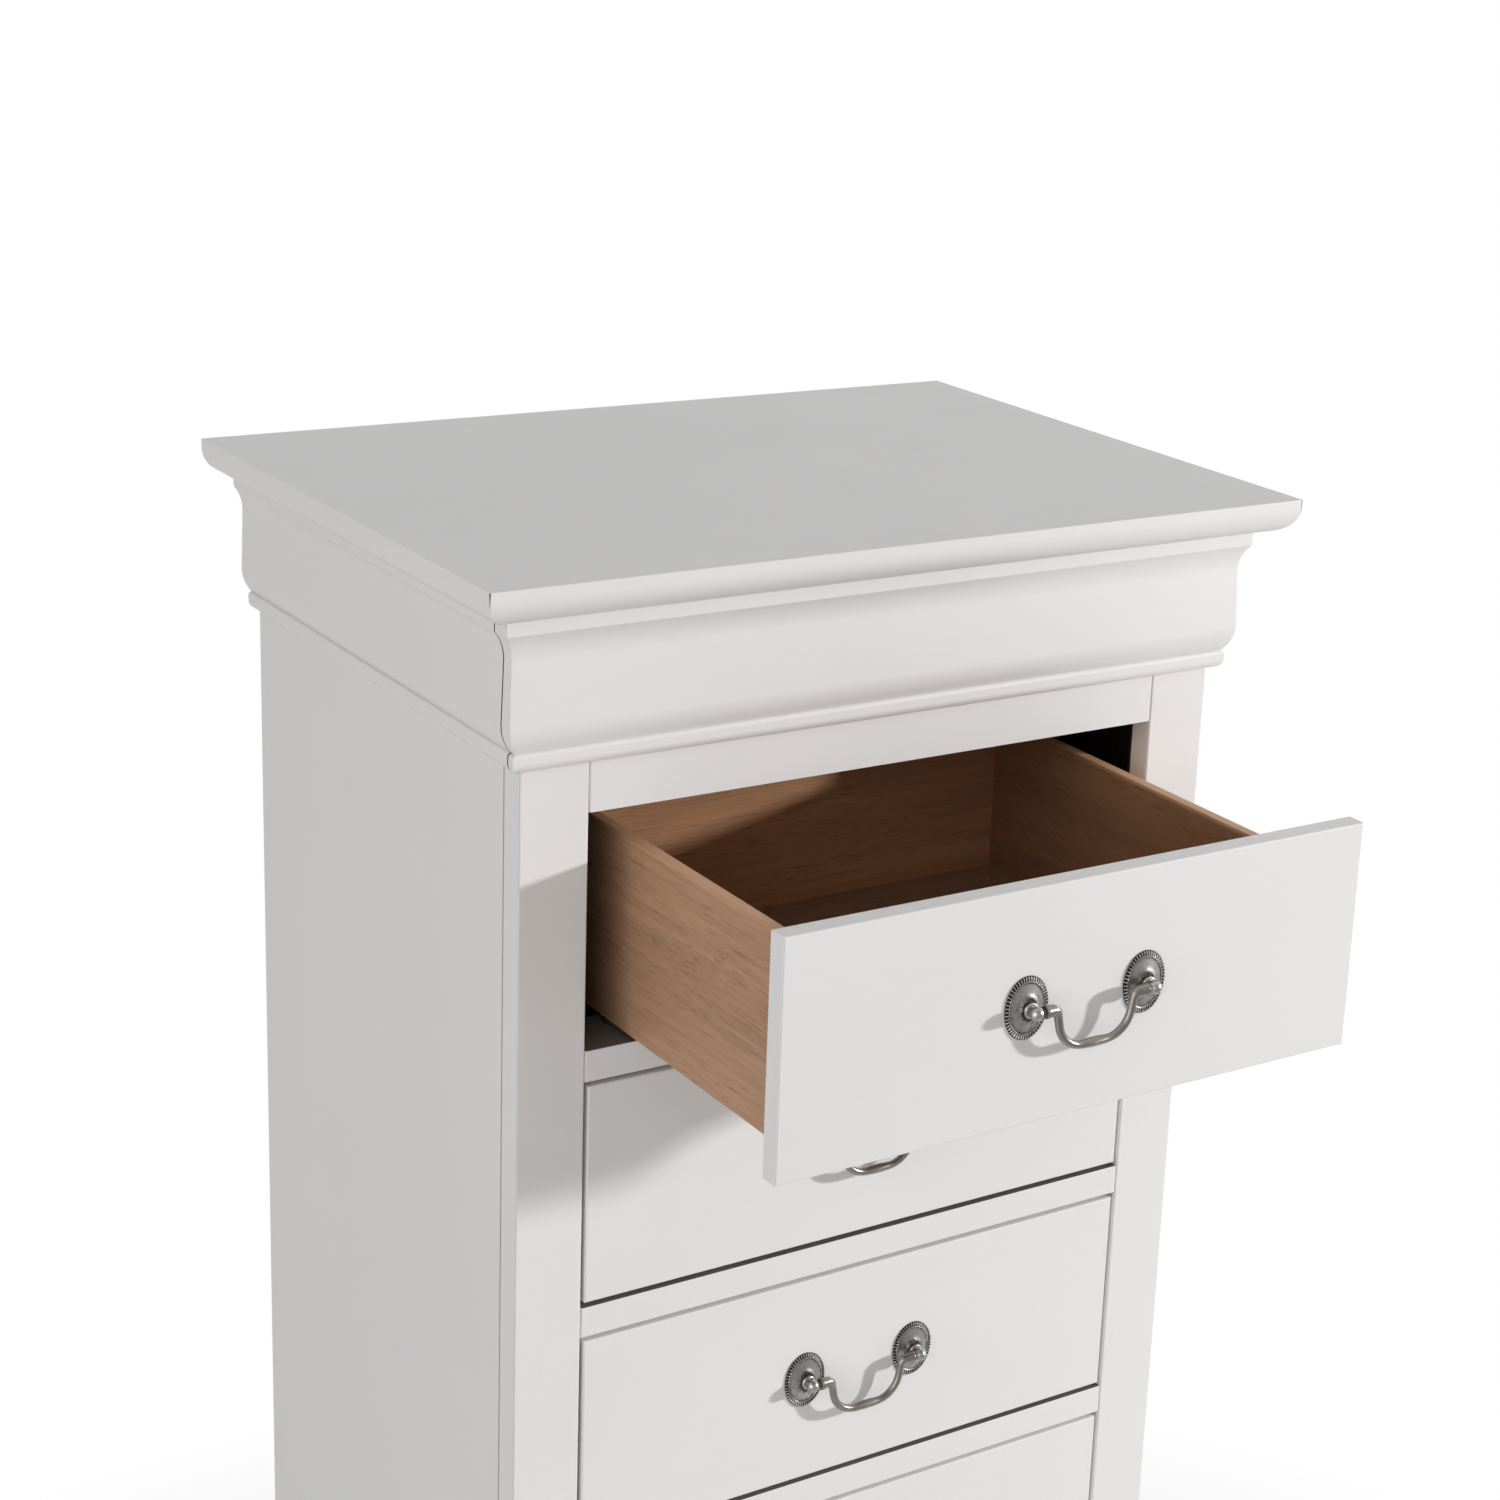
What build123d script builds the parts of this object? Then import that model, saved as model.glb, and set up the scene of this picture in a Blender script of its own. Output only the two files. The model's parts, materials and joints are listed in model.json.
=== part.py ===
from build123d import *
import math
import os

# A tall narrow chest of drawers: six drawers with bail pulls, and a shallow seventh
# drawer hidden behind the front moulding of the cornice. The first drawer stands open.
# X is to the right, Y to the back and Z up, and every length is in millimetres.
# Pieces are drawn with Y zero on the front face of the stiles, and moved on export.

# Overall sizes
chest_height = 1295.0
top_width = 559.0
top_depth = 406.0
top_overhang = 36.5
drawer_count = 6
open_distance = 204.4
cut_overrun = 5.0

# Top: a core panel with mitred edge mouldings on the front and the two ends
top_thickness = 22.0
top_edge_flat = 5.5
top_edge_width = 45.0

# Carcass boards
side_thickness = 15.0
stile_width = 43.5
stile_thickness = 19.0
rail_height = 19.6
rail_depth = 45.0
tenon_length = 12.0
tenon_thickness = 8.0
tenon_shoulder = 3.0
edge_chamfer = 0.8
back_thickness = 5.0
back_rebate = 7.0
floor_thickness = 10.0
floor_groove = 5.0
floor_drop = 26.0
bottom_rail_height = 42.0

# Heights of the drawer openings: the six share what the cornice, the base and the rails leave
first_opening_drop = 144.7
hidden_rail_drop = 97.0
bottom_rail_reveal = 22.3

# Cornice profile, from the underside of the top down to the bead
fillet_reach = 16.0
fillet_height = 10.0
hollow_height = 16.0
waist_reach = 10.4
belly_height = 38.0
belly_reach = 11.7
foot_height = 15.5
foot_reach = 6.2
quirk_height = 0.8
bead_reach = 7.5
bead_height = 11.4
bead_top_round = 2.2
bead_foot_round = 5.7
cornice_top_gap = 1.5
cornice_back_gap = 1.3

# Base: mitred plinth boards with bracket feet, a back board and corner blocks
plinth_height = 160.0
plinth_reach = 12.0
plinth_inset = 8.0
plinth_lap = 30.0
cap_flat = 2.2
cap_hollow = 9.0
cap_height = 12.0
apron_height = 84.0
foot_width = 70.0
side_foot_width = 58.0
foot_radius = 44.0
cusp_flat = 6.0
scroll_radius = 20.0
scroll_angle = 60.0
base_back_thickness = 12.0
base_back_inset = 8.0
base_back_clear = 30.0
block_size = 28.0
block_clear = 3.0

# Drawer boards
front_thickness = 12.5
front_gap_z = 3.0
front_gap_x = 2.5
front_round = 1.0
box_side_gap = 30.0
box_board = 10.0
box_back_gap = 37.0
box_tail = 5.0
side_lift = 3.2
side_top_gap = 23.3
hidden_side_gap = 7.8
hidden_front_gap = 8.0
panel_thickness = 4.0
panel_groove = 5.0
panel_recess = 12.0
back_housing = 3.0
dovetail_depth = 6.0
dovetail_neck = 6.0
dovetail_tail = 8.0
side_top_round = 2.5

# Centre runner on the carcass and the guide channel under each drawer
runner_width = 26.0
runner_height = 10.0
runner_start = 16.5
runner_chamfer = 1.5
guide_width = 52.0
guide_lift = 2.0
running_gap = 0.3
pad_radius = 6.0
pad_rim = 1.0
pad_set_back = 31.0
bracket_wall = 5.0
bracket_lip = 3.0
stop_gap = 0.5

# Cleats and screws that hold the top
cleat_width = 20.0
cleat_height = 12.0
cleat_set_back = 2.0
front_cleat_depth = 38.0
cleat_end_gap = 10.0
screw_radius = 1.8
screw_head_radius = 3.6
screw_head_height = 2.4
screw_length = 26.0
screw_spread = 130.0

# Pull: two oval plates with ball posts, and a bail that swings between them
pull_spacing = 81.0
plate_half_width = 14.7
plate_half_height = 18.8
plate_rim_width = 3.0
plate_rim_height = 1.9
plate_rim_chamfer = 0.6
plate_field_height = 1.3
plate_crown_height = 3.6
plate_crown_radius = 5.0
stem_radius = 2.8
collar_radius = 4.6
collar_height = 2.3
collar_chamfer = 0.9
neck_radius = 2.6
ball_radius = 4.1
pull_reach = 10.0
pull_rise = 0.5
pin_radius = 1.5
pin_clearance = 0.08
pin_length = 4.2
pin_bore_depth = 3.5
ferrule_gap = 1.2
ferrule_radius = 4.0
ferrule_chamfer = 0.6
ferrule_length = 7.0
leg_radius = 2.3
bail_half_top = 26.6
bail_half_foot = 22.0
bail_drop = 24.2
elbow_radius = 4.0
bail_corner_radius = 17.0
grip_radius = 3.1
grip_half_length = 13.0
bolt_radius = 1.9
bolt_hole_radius = 2.2
bolt_depth = 6.0
bolt_head_radius = 4.0
bolt_head_height = 2.4

# Sizes that follow from the ones above
carcass_width = top_width - 2 * top_overhang
carcass_depth = top_depth - top_overhang
half_carcass = carcass_width / 2
half_opening = half_carcass - stile_width
inner_half = half_carcass - side_thickness
top_foot = chest_height - top_thickness
carcass_foot = plinth_height - plinth_lap
hidden_rail_top = chest_height - hidden_rail_drop
back_face = carcass_depth - back_thickness
ball_front = pull_reach + ball_radius
grip_front = pull_reach + grip_radius
middle_y = (carcass_depth - open_distance - max(ball_front, grip_front)) / 2
lowest_floor = plinth_height + bottom_rail_reveal
openings_height = chest_height - first_opening_drop - lowest_floor
opening_height = (openings_height - (drawer_count - 1) * rail_height) / drawer_count
front_height = opening_height - 2 * front_gap_z
front_half_width = half_opening - front_gap_x
front_centre = front_gap_z + front_height / 2
box_half_width = half_opening - box_side_gap
box_inner_half = box_half_width - box_board
box_end = back_face - box_back_gap - box_tail
side_height = opening_height - side_lift - side_top_gap
hidden_space = top_foot - cleat_height - hidden_rail_top
hidden_side_height = hidden_space - side_lift - hidden_side_gap
hidden_front_height = hidden_space - front_gap_z - hidden_front_gap
panel_lift = side_lift + panel_recess
runner_end = back_face - bracket_wall


def opening_floor(number):
    """Height of the rail top under drawer number one to six, counted from the top."""
    drop = first_opening_drop + opening_height + (number - 1) * (opening_height + rail_height)
    return chest_height - drop


def block(x_low, x_high, y_low, y_high, z_low, z_high):
    """A squared board between two corners."""
    size = Box(x_high - x_low, y_high - y_low, z_high - z_low)
    return Pos((x_low + x_high) / 2, (y_low + y_high) / 2, (z_low + z_high) / 2) * size


def mirrored(solid):
    """The same piece on the other side of the chest."""
    return mirror(solid, about=Plane.YZ)


def write(node, *solids):
    """Write one STEP file with one or more separate solids, in the chest's own frame."""
    pieces = [piece for solid in solids for piece in solid.solids()]
    moved = [Pos(0, -middle_y, 0) * piece for piece in pieces]
    export_step(moved[0] if len(moved) == 1 else Compound(moved), f"parts/{node}.step")


def along_y(section, start, end):
    """Push a section drawn on the XZ plane from one Y to another."""
    return extrude(Plane.XZ.offset(-start) * section, amount=end - start, dir=(0, 1, 0))


def turned_to_front(prism):
    """Turn a prism that faces right and runs to the back, so that it faces front."""
    return Rot(0, 0, -90) * prism


def plan(points, low, high):
    """An upright prism on a plan outline, used to cut mitres."""
    return Pos(0, 0, low) * extrude(make_face(Polyline(*points, close=True)), amount=high - low)


def cornice_section(inner, top_gap):
    """Section of the cornice: fillet, hollow, belly, rolled foot, quirk and bead, reaching to the right."""
    top = top_foot - top_gap
    fillet_end = top_foot - fillet_height
    waist = fillet_end - hollow_height
    belly = waist - belly_height
    foot = belly - foot_height
    bead = foot - quirk_height
    bead_foot = bead - bead_height
    hollow_step = fillet_reach - waist_reach
    hollow_radius = (hollow_height**2 + hollow_step**2) / (2 * hollow_step)
    foot_step = belly_reach - foot_reach
    foot_curve = (foot_height**2 + foot_step**2) / (2 * foot_step)
    outline = [
        Polyline((inner, bead_foot), (inner, top), (fillet_reach, top), (fillet_reach, fillet_end)),
        RadiusArc((fillet_reach, fillet_end), (waist_reach, waist), -hollow_radius),
        Line((waist_reach, waist), (belly_reach, belly)),
        RadiusArc((belly_reach, belly), (foot_reach, foot), foot_curve),
        Line((foot_reach, foot), (bead_reach - bead_top_round, bead)),
        RadiusArc((bead_reach - bead_top_round, bead), (bead_reach, bead - bead_top_round), bead_top_round),
        Line((bead_reach, bead - bead_top_round), (bead_reach, bead_foot + bead_foot_round)),
        RadiusArc((bead_reach, bead_foot + bead_foot_round), (bead_reach - bead_foot_round, bead_foot),
                  bead_foot_round),
        Line((bead_reach - bead_foot_round, bead_foot), (inner, bead_foot)),
    ]
    return make_face(outline)


def hidden_drawer_moulding():
    """The cornice front: the side profile carried across the front and mitred round both ends."""
    reach = half_carcass + fillet_reach
    front = turned_to_front(along_y(cornice_section(cornice_back_gap, cornice_top_gap), -reach, reach))
    side = cornice_section(-half_carcass, cornice_top_gap)
    right = Pos(half_carcass, 0, 0) * along_y(side, -fillet_reach, 0)
    return front & (right + mirrored(right))


def top_edge_section():
    """Section of the top's edge: a square upper edge over a quarter round."""
    radius = top_thickness - top_edge_flat
    outer = top_edge_width
    outline = [
        Polyline((outer - radius, top_foot), (0, top_foot), (0, chest_height), (outer, chest_height),
                 (outer, chest_height - top_edge_flat)),
        RadiusArc((outer, chest_height - top_edge_flat), (outer - radius, top_foot), radius),
    ]
    return make_face(outline)


def top_edges():
    """Front edge moulding and the two end ones, mitred at the front corners."""
    half = top_width / 2
    inner = half - top_edge_width
    front_y = -top_overhang
    shoulder = front_y + top_edge_width
    low, high = top_foot - cut_overrun, chest_height + cut_overrun
    front = Pos(0, shoulder, 0) * turned_to_front(along_y(top_edge_section(), -half, half))
    mitred = [(-half, front_y), (half, front_y), (inner, shoulder), (-inner, shoulder)]
    front = front & plan(mitred, low, high)
    right = Pos(inner, 0, 0) * along_y(top_edge_section(), front_y, carcass_depth)
    right = right & plan([(half, front_y), (half, carcass_depth), (inner, carcass_depth), (inner, shoulder)],
                         low, high)
    return front, right, mirrored(right)


def screw_places():
    """Places of the screws that go up through the cleats into the top."""
    front_y = cleat_set_back + front_cleat_depth / 2
    rear_y = back_face - cleat_width / 2
    side_x = inner_half - cleat_width / 2
    middle = carcass_depth / 2
    across = [(x, y) for y in (front_y, rear_y) for x in (-screw_spread, screw_spread)]
    return across + [(-side_x, middle), (side_x, middle)]


def top_screw(x, y):
    """A countersunk screw, head down, from the underside of a cleat into the top."""
    low = top_foot - cleat_height
    shank = Pos(x, y, low + screw_length / 2) * Cylinder(screw_radius, screw_length)
    head = Pos(x, y, low + screw_head_height / 2) * Cone(screw_head_radius, screw_radius, screw_head_height)
    return shank + head


def cleats():
    """Four cleats under the top: front, rear and one along each side."""
    low = top_foot - cleat_height
    front = block(-half_opening, half_opening, cleat_set_back, cleat_set_back + front_cleat_depth,
                  low, top_foot)
    rear = block(-inner_half, inner_half, back_face - cleat_width, back_face, low, top_foot)
    right = block(inner_half - cleat_width, inner_half, rail_depth + cleat_end_gap,
                  back_face - cleat_width - cleat_end_gap, low, top_foot)
    return [front, rear, right, mirrored(right)]


def rail(low, high):
    """A front rail between the stiles, with a stub tenon at each end and eased front ends."""
    body = block(-half_opening, half_opening, 0, rail_depth, low, high)
    ends = body.edges().filter_by(Axis.Z).group_by(Axis.Y)[0]
    body = chamfer(ends, edge_chamfer)
    middle = stile_thickness / 2
    tenon = block(-half_opening - tenon_length, half_opening + tenon_length, middle - tenon_thickness / 2,
                  middle + tenon_thickness / 2, low + tenon_shoulder, high - tenon_shoulder)
    return body + tenon


def rails():
    """The upper rail, the rails between the drawers, and the bottom rail."""
    upper = rail(chest_height - first_opening_drop, hidden_rail_top)
    between = [rail(opening_floor(n) - rail_height, opening_floor(n)) for n in range(1, drawer_count)]
    bottom = rail(lowest_floor - bottom_rail_height, lowest_floor)
    return upper, between, bottom


def right_stile(tenoned):
    """Right stile, eased along its long edges, with a mortise for every rail."""
    body = block(half_opening, half_carcass, 0, stile_thickness, carcass_foot, top_foot)
    upright = body.edges().filter_by(Axis.Z)
    outer_back = upright.group_by(Axis.X)[-1].sort_by(Axis.Y)[-1]
    front_pair = upright.group_by(Axis.Y)[0]
    body = chamfer([outer_back, *front_pair], edge_chamfer)
    for piece in tenoned:
        body = body - piece
    return body


def right_side_panel(back, floor):
    """Right side panel behind the stile, rebated for the back and grooved for the floor."""
    body = block(inner_half, half_carcass, stile_thickness, carcass_depth, carcass_foot, top_foot)
    outer_front = body.edges().filter_by(Axis.Z).group_by(Axis.X)[-1].sort_by(Axis.Y)[0]
    return chamfer(outer_front, edge_chamfer) - back - floor


def carcass_floor():
    """Floor panel under the lowest drawer, let into the side panels."""
    high = lowest_floor - floor_drop
    reach = inner_half + floor_groove
    return block(-reach, reach, rail_depth, back_face, high - floor_thickness, high)


def back_panel():
    """Thin back panel in the rebates of the side panels."""
    reach = inner_half + back_rebate
    return block(-reach, reach, back_face, carcass_depth, carcass_foot, top_foot)


def plinth_section():
    """Section of a plinth board: a hollow cap over a flat face, and a rebate that carries the carcass."""
    cap_foot = plinth_height - cap_height
    step = cap_hollow - cap_flat
    radius = (cap_height**2 + step**2) / (2 * step)
    outline = [
        Polyline((cap_hollow, cap_foot), (plinth_reach, cap_foot), (plinth_reach, 0), (-plinth_inset, 0),
                 (-plinth_inset, carcass_foot), (0, carcass_foot), (0, plinth_height),
                 (cap_flat, plinth_height)),
        RadiusArc((cap_flat, plinth_height), (cap_hollow, cap_foot), -radius),
    ]
    return make_face(outline)


def bracket_arch(half_clear):
    """Half outline of the gap between two bracket feet, mirrored and filled: scroll, cusp and foot."""
    scroll_run = 2 * scroll_radius * math.sin(math.radians(scroll_angle))
    flat_half = half_clear - foot_radius - cusp_flat - scroll_run
    first = JernArc((flat_half, apron_height), (1, 0), scroll_radius, -scroll_angle)
    second = JernArc(first @ 1, first % 1, scroll_radius, scroll_angle)
    cusp = second @ 1 + Vector(cusp_flat, 0)
    foot = JernArc(cusp, (1, 0), foot_radius, -90)
    floor_point = Vector(half_clear, -cut_overrun)
    half = make_face([
        Polyline((0, -cut_overrun), (0, apron_height), (flat_half, apron_height)), first, second,
        Line(second @ 1, cusp), foot, Polyline(foot @ 1, floor_point, (0, -cut_overrun)),
    ])
    return half + mirror(half, about=Plane.YZ)


def plinth_boards():
    """Front and side plinth boards, mitred at the front and cut to bracket feet."""
    half = half_carcass + plinth_reach
    inner = half_carcass - plinth_inset
    low, high = -cut_overrun, plinth_height + cut_overrun
    front = turned_to_front(along_y(plinth_section(), -half, half))
    front = front & plan([(-half, -plinth_reach), (half, -plinth_reach), (inner, plinth_inset),
                          (-inner, plinth_inset)], low, high)
    arch = bracket_arch(half - foot_width)
    front = front - along_y(arch, -plinth_reach - cut_overrun, plinth_inset + cut_overrun)
    right = Pos(half_carcass, 0, 0) * along_y(plinth_section(), -plinth_reach, carcass_depth)
    right = right & plan([(half, -plinth_reach), (half, carcass_depth), (inner, carcass_depth),
                          (inner, plinth_inset)], low, high)
    side_length = carcass_depth + plinth_reach
    arch = bracket_arch(side_length / 2 - side_foot_width)
    arch = along_y(arch, -cut_overrun, plinth_reach + plinth_inset + cut_overrun)
    arch = Pos(half, side_length / 2 - plinth_reach, 0) * Rot(0, 0, 90) * arch
    return front, right - arch, mirrored(right - arch)


def base_back():
    """Plain board across the back of the base, between the side plinth boards."""
    reach = half_carcass - plinth_inset
    high = carcass_depth - base_back_inset
    return block(-reach, reach, high - base_back_thickness, high, base_back_clear, carcass_foot)


def corner_blocks():
    """Glue blocks inside the four corners of the base, clear of the floor."""
    outer = half_carcass - plinth_inset
    rear = carcass_depth - base_back_inset - base_back_thickness
    inner = outer - block_size
    front_block = block(inner, outer, plinth_inset, plinth_inset + block_size, block_clear, carcass_foot)
    rear_block = block(inner, outer, rear - block_size, rear, base_back_clear, carcass_foot)
    return [front_block, mirrored(front_block), rear_block, mirrored(rear_block)]


def runner(floor):
    """Hardwood centre runner from the front rail to the bracket on the back panel."""
    bar = block(-runner_width / 2, runner_width / 2, runner_start, runner_end, floor, floor + runner_height)
    upper = bar.faces().sort_by(Axis.Z)[-1].edges()
    return chamfer(upper.filter_by(Axis.Y), runner_chamfer)


def bracket(floor):
    """Moulded socket on the back panel: it holds the rear end of a runner and stops the drawer."""
    half = runner_width / 2 + bracket_wall
    start = box_end + stop_gap
    body = block(-half, half, start, back_face, floor - bracket_wall, floor + runner_height - bracket_lip)
    return body - runner(floor)


def pads(floor):
    """Two low round pads on a front rail, which carry the drawer's sides."""
    height = side_lift - running_gap
    pad = Pos(box_half_width - box_board / 2, pad_set_back, floor + height / 2) * Cylinder(pad_radius, height)
    pad = chamfer(pad.faces().sort_by(Axis.Z)[-1].edges(), pad_rim)
    return [pad, mirrored(pad)]


def drawer_bottom(floor):
    """Thin bottom panel, let into the front and the sides and run under the back."""
    reach = box_inner_half + panel_groove
    low = floor + panel_lift
    return block(-reach, reach, front_thickness - panel_groove, box_end, low, low + panel_thickness)


def drawer_guide(floor):
    """Channel under the bottom panel that straddles the centre runner."""
    half_slot = runner_width / 2 + running_gap
    body = block(-guide_width / 2, guide_width / 2, front_thickness, box_end,
                 floor + guide_lift, floor + panel_lift)
    slot = block(-half_slot, half_slot, front_thickness - cut_overrun, box_end + cut_overrun,
                 floor + guide_lift - cut_overrun, floor + runner_height + running_gap)
    return body - slot


def drawer_back(floor, height):
    """Back board, housed in the sides and standing on the bottom panel."""
    reach = box_inner_half + back_housing
    return block(-reach, reach, box_end - box_board, box_end, floor + panel_lift + panel_thickness,
                 floor + side_lift + height)


def dovetail(low, high):
    """Upright tail on the front end of the right side, which slides into the drawer front."""
    x = box_half_width - box_board / 2
    neck, tail = dovetail_neck / 2, dovetail_tail / 2
    root, tip = front_thickness, front_thickness - dovetail_depth
    return plan([(x - neck, root), (x + neck, root), (x + tail, tip), (x - tail, tip)], low, high)


def drawer_side(floor, height, bottom, back):
    """Right side of a drawer box: rounded top edge, front tail, groove and housing."""
    low, high = floor + side_lift, floor + side_lift + height
    body = block(box_inner_half, box_half_width, front_thickness, box_end + box_tail, low, high)
    body = fillet(body.faces().sort_by(Axis.Z)[-1].edges().filter_by(Axis.Y), side_top_round)
    tail = dovetail(low, high - side_top_round)
    return body + tail - bottom - back


def drawer_front(floor, low, high, lead, bottom, side_high):
    """Front board with eased edges, slots for the sides' tails and a groove for the bottom."""
    body = block(-front_half_width, front_half_width, -lead, front_thickness, low, high)
    body = fillet(body.faces().sort_by(Axis.Y)[0].edges(), front_round)
    slot = dovetail(low - cut_overrun, side_high - side_top_round)
    return body - slot - mirrored(slot) - bottom


def pull_plate(x, z):
    """Oval plate with a raised rim and a crowned field, bored for the post."""
    rim = plate_half_width
    field = rim - plate_rim_width
    crown = plate_crown_radius
    middle = ((field + crown) / 2, (plate_field_height + plate_crown_height) / 2 + plate_rim_chamfer)
    outline = make_face([
        Polyline((0, plate_crown_height), (0, 0), (rim, 0), (rim, plate_rim_height - plate_rim_chamfer),
                 (rim - plate_rim_chamfer, plate_rim_height), (field + plate_rim_chamfer, plate_rim_height),
                 (field, plate_field_height)),
        ThreePointArc((field, plate_field_height), middle, (crown, plate_crown_height)),
        Line((crown, plate_crown_height), (0, plate_crown_height)),
    ])
    disc = revolve(outline, Axis.Y)
    disc = mirror(disc, about=Plane.XZ)
    oval = scale(disc, by=(1, 1, plate_half_height / plate_half_width))
    hole = Rot(90, 0, 0) * Cylinder(stem_radius, 4 * plate_crown_height)
    return Pos(x, 0, z) * (oval - hole)


def pull_post(x, z):
    """Turned post: a stem through the plate, a collar, a neck and a ball bored for the bail's pin."""
    crown = plate_crown_height
    collar_end = crown + collar_height
    thread_radius = bolt_radius + pin_clearance
    ball_rise = pull_reach - math.sqrt(ball_radius**2 - neck_radius**2)
    outline = make_face([
        Polyline((0, pull_reach + ball_radius), (0, bolt_depth), (thread_radius, bolt_depth),
                 (thread_radius, 0), (stem_radius, 0), (stem_radius, crown), (collar_radius, crown),
                 (collar_radius, collar_end - collar_chamfer), (collar_radius - collar_chamfer, collar_end),
                 (neck_radius, collar_end), (neck_radius, ball_rise)),
        ThreePointArc((neck_radius, ball_rise), (ball_radius, pull_reach), (0, pull_reach + ball_radius)),
    ])
    body = mirror(revolve(outline, Axis.Y), about=Plane.XZ)
    inward = -1 if x > 0 else 1
    mouth = ball_radius + pin_bore_depth
    bore = Rot(0, 90, 0) * Cylinder(pin_radius + pin_clearance, mouth)
    bore = Pos(inward * (ball_radius - pin_bore_depth + mouth / 2), -pull_reach, 0) * bore
    return Pos(x, 0, z) * (body - bore)


def pull_bolt(x, z):
    """Pan-headed bolt from inside the drawer into the post."""
    shank_length = front_thickness + bolt_depth - pin_clearance
    shank = Cylinder(bolt_radius, shank_length, align=(Align.CENTER, Align.CENTER, Align.MIN))
    head = Cylinder(bolt_head_radius, bolt_head_height, align=(Align.CENTER, Align.CENTER, Align.MAX))
    head = chamfer(head.faces().sort_by(Axis.Z)[0].edges(), bolt_head_height / 3)
    return Pos(x, front_thickness, z) * Rot(90, 0, 0) * (shank + head)


def bail(z):
    """Swinging handle: pins, flared ferrules, legs and a swelled grip, drawn hanging."""
    face = pull_spacing / 2 - ball_radius - ferrule_gap
    corners = [(face, 0), (bail_half_top, 0), (bail_half_foot, -bail_drop),
               (-bail_half_foot, -bail_drop), (-bail_half_top, 0), (-face, 0)]
    route = Plane.XZ * FilletPolyline(*corners, radius=[elbow_radius, bail_corner_radius,
                                                        bail_corner_radius, elbow_radius])
    start = Plane(origin=route @ 0, z_dir=route % 0)
    wire = sweep(start * Circle(leg_radius), path=route)
    swell = (grip_radius - leg_radius) * 2
    curve = (grip_half_length**2 + (swell / 2) ** 2) / swell
    outline = make_face([
        Polyline((grip_half_length, leg_radius), (grip_half_length, 0), (-grip_half_length, 0),
                 (-grip_half_length, leg_radius)),
        RadiusArc((-grip_half_length, leg_radius), (grip_half_length, leg_radius), curve),
    ])
    grip = Pos(0, 0, -bail_drop) * revolve(outline, Axis.X)
    end = face + pin_length
    ferrule = make_face([
        Polyline((face - ferrule_length, leg_radius), (face - ferrule_length, 0), (end, 0), (end, pin_radius),
                 (face, pin_radius), (face, ferrule_radius - ferrule_chamfer),
                 (face - ferrule_chamfer, ferrule_radius), (face - ferrule_length, leg_radius)),
    ])
    right = revolve(ferrule, Axis.X)
    return Pos(0, -pull_reach, z) * (wire + grip + right + mirrored(right))


def write_drawer(name, floor, number):
    """Write one of the six drawers, with its pull, at the place where it rests."""
    shift = Pos(0, -open_distance, 0) if number == 1 else Pos(0, 0, 0)
    bottom = drawer_bottom(floor)
    back = drawer_back(floor, side_height)
    side = drawer_side(floor, side_height, bottom, back)
    low = floor + front_gap_z
    front = drawer_front(floor, low, low + front_height, 0, bottom, floor + side_lift + side_height)
    z = floor + front_centre + pull_rise
    places = [(-pull_spacing / 2, z), (pull_spacing / 2, z)]
    for x, height in places:
        front = front - Pos(x, front_thickness / 2, height) * Rot(90, 0, 0) * Cylinder(
            bolt_hole_radius, 2 * front_thickness)
    write(f"{name}_front", shift * front)
    write(f"{name}_sides", shift * side, shift * mirrored(side))
    write(f"{name}_back", shift * back)
    write(f"{name}_bottom", shift * bottom, shift * drawer_guide(floor))
    mounts = [make(x, height) for make in (pull_plate, pull_post, pull_bolt) for x, height in places]
    write(f"{name}_pull_mounts", *[shift * piece for piece in mounts])
    write(f"{name}_bail", shift * bail(z))


def write_hidden_drawer():
    """Write the shallow drawer whose front is the cornice moulding."""
    floor = hidden_rail_top
    bottom = drawer_bottom(floor)
    back = drawer_back(floor, hidden_side_height)
    side = drawer_side(floor, hidden_side_height, bottom, back)
    low = floor + front_gap_z
    high = floor + side_lift + hidden_side_height
    inner = drawer_front(floor, low, low + hidden_front_height, cornice_back_gap, bottom, high)
    write("hidden_drawer_moulding", hidden_drawer_moulding())
    write("hidden_drawer_front", inner)
    write("hidden_drawer_sides", side, mirrored(side))
    write("hidden_drawer_back", back)
    write("hidden_drawer_bottom", bottom, drawer_guide(floor))


def write_top():
    """Write the top, its edge mouldings, the cleats under it and their screws."""
    screws = [top_screw(x, y) for x, y in screw_places()]
    inner = top_width / 2 - top_edge_width
    core = block(-inner, inner, top_edge_width - top_overhang, carcass_depth, top_foot, chest_height)
    held = cleats()
    for screw in screws:
        core = core - screw
        held = [cleat - screw for cleat in held]
    write("top_panel", core)
    write("top_edge_mouldings", *top_edges())
    write("top_cleats", *held)
    write("top_screws", *screws)


def write_carcass():
    """Write the case: stiles, rails, side panels, cornice sides, back and floor."""
    upper, between, bottom = rails()
    stile = right_stile([upper, *between, bottom])
    back, floor = back_panel(), carcass_floor()
    right = right_side_panel(back, floor)
    cornice = Pos(half_carcass, 0, 0) * along_y(cornice_section(0, 0), 0, carcass_depth)
    write("upper_rail", upper)
    write("drawer_rails", *between)
    write("bottom_rail", bottom)
    write("stiles", stile, mirrored(stile))
    write("side_panels", right, mirrored(right))
    write("side_cornices", cornice, mirrored(cornice))
    write("back_panel", back)
    write("carcass_floor", floor)


def write_base():
    """Write the plinth boards, the base back and the corner blocks."""
    front, right, left = plinth_boards()
    write("base_front", front)
    write("base_sides", right, left)
    write("base_back", base_back())
    write("corner_blocks", *corner_blocks())


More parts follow.
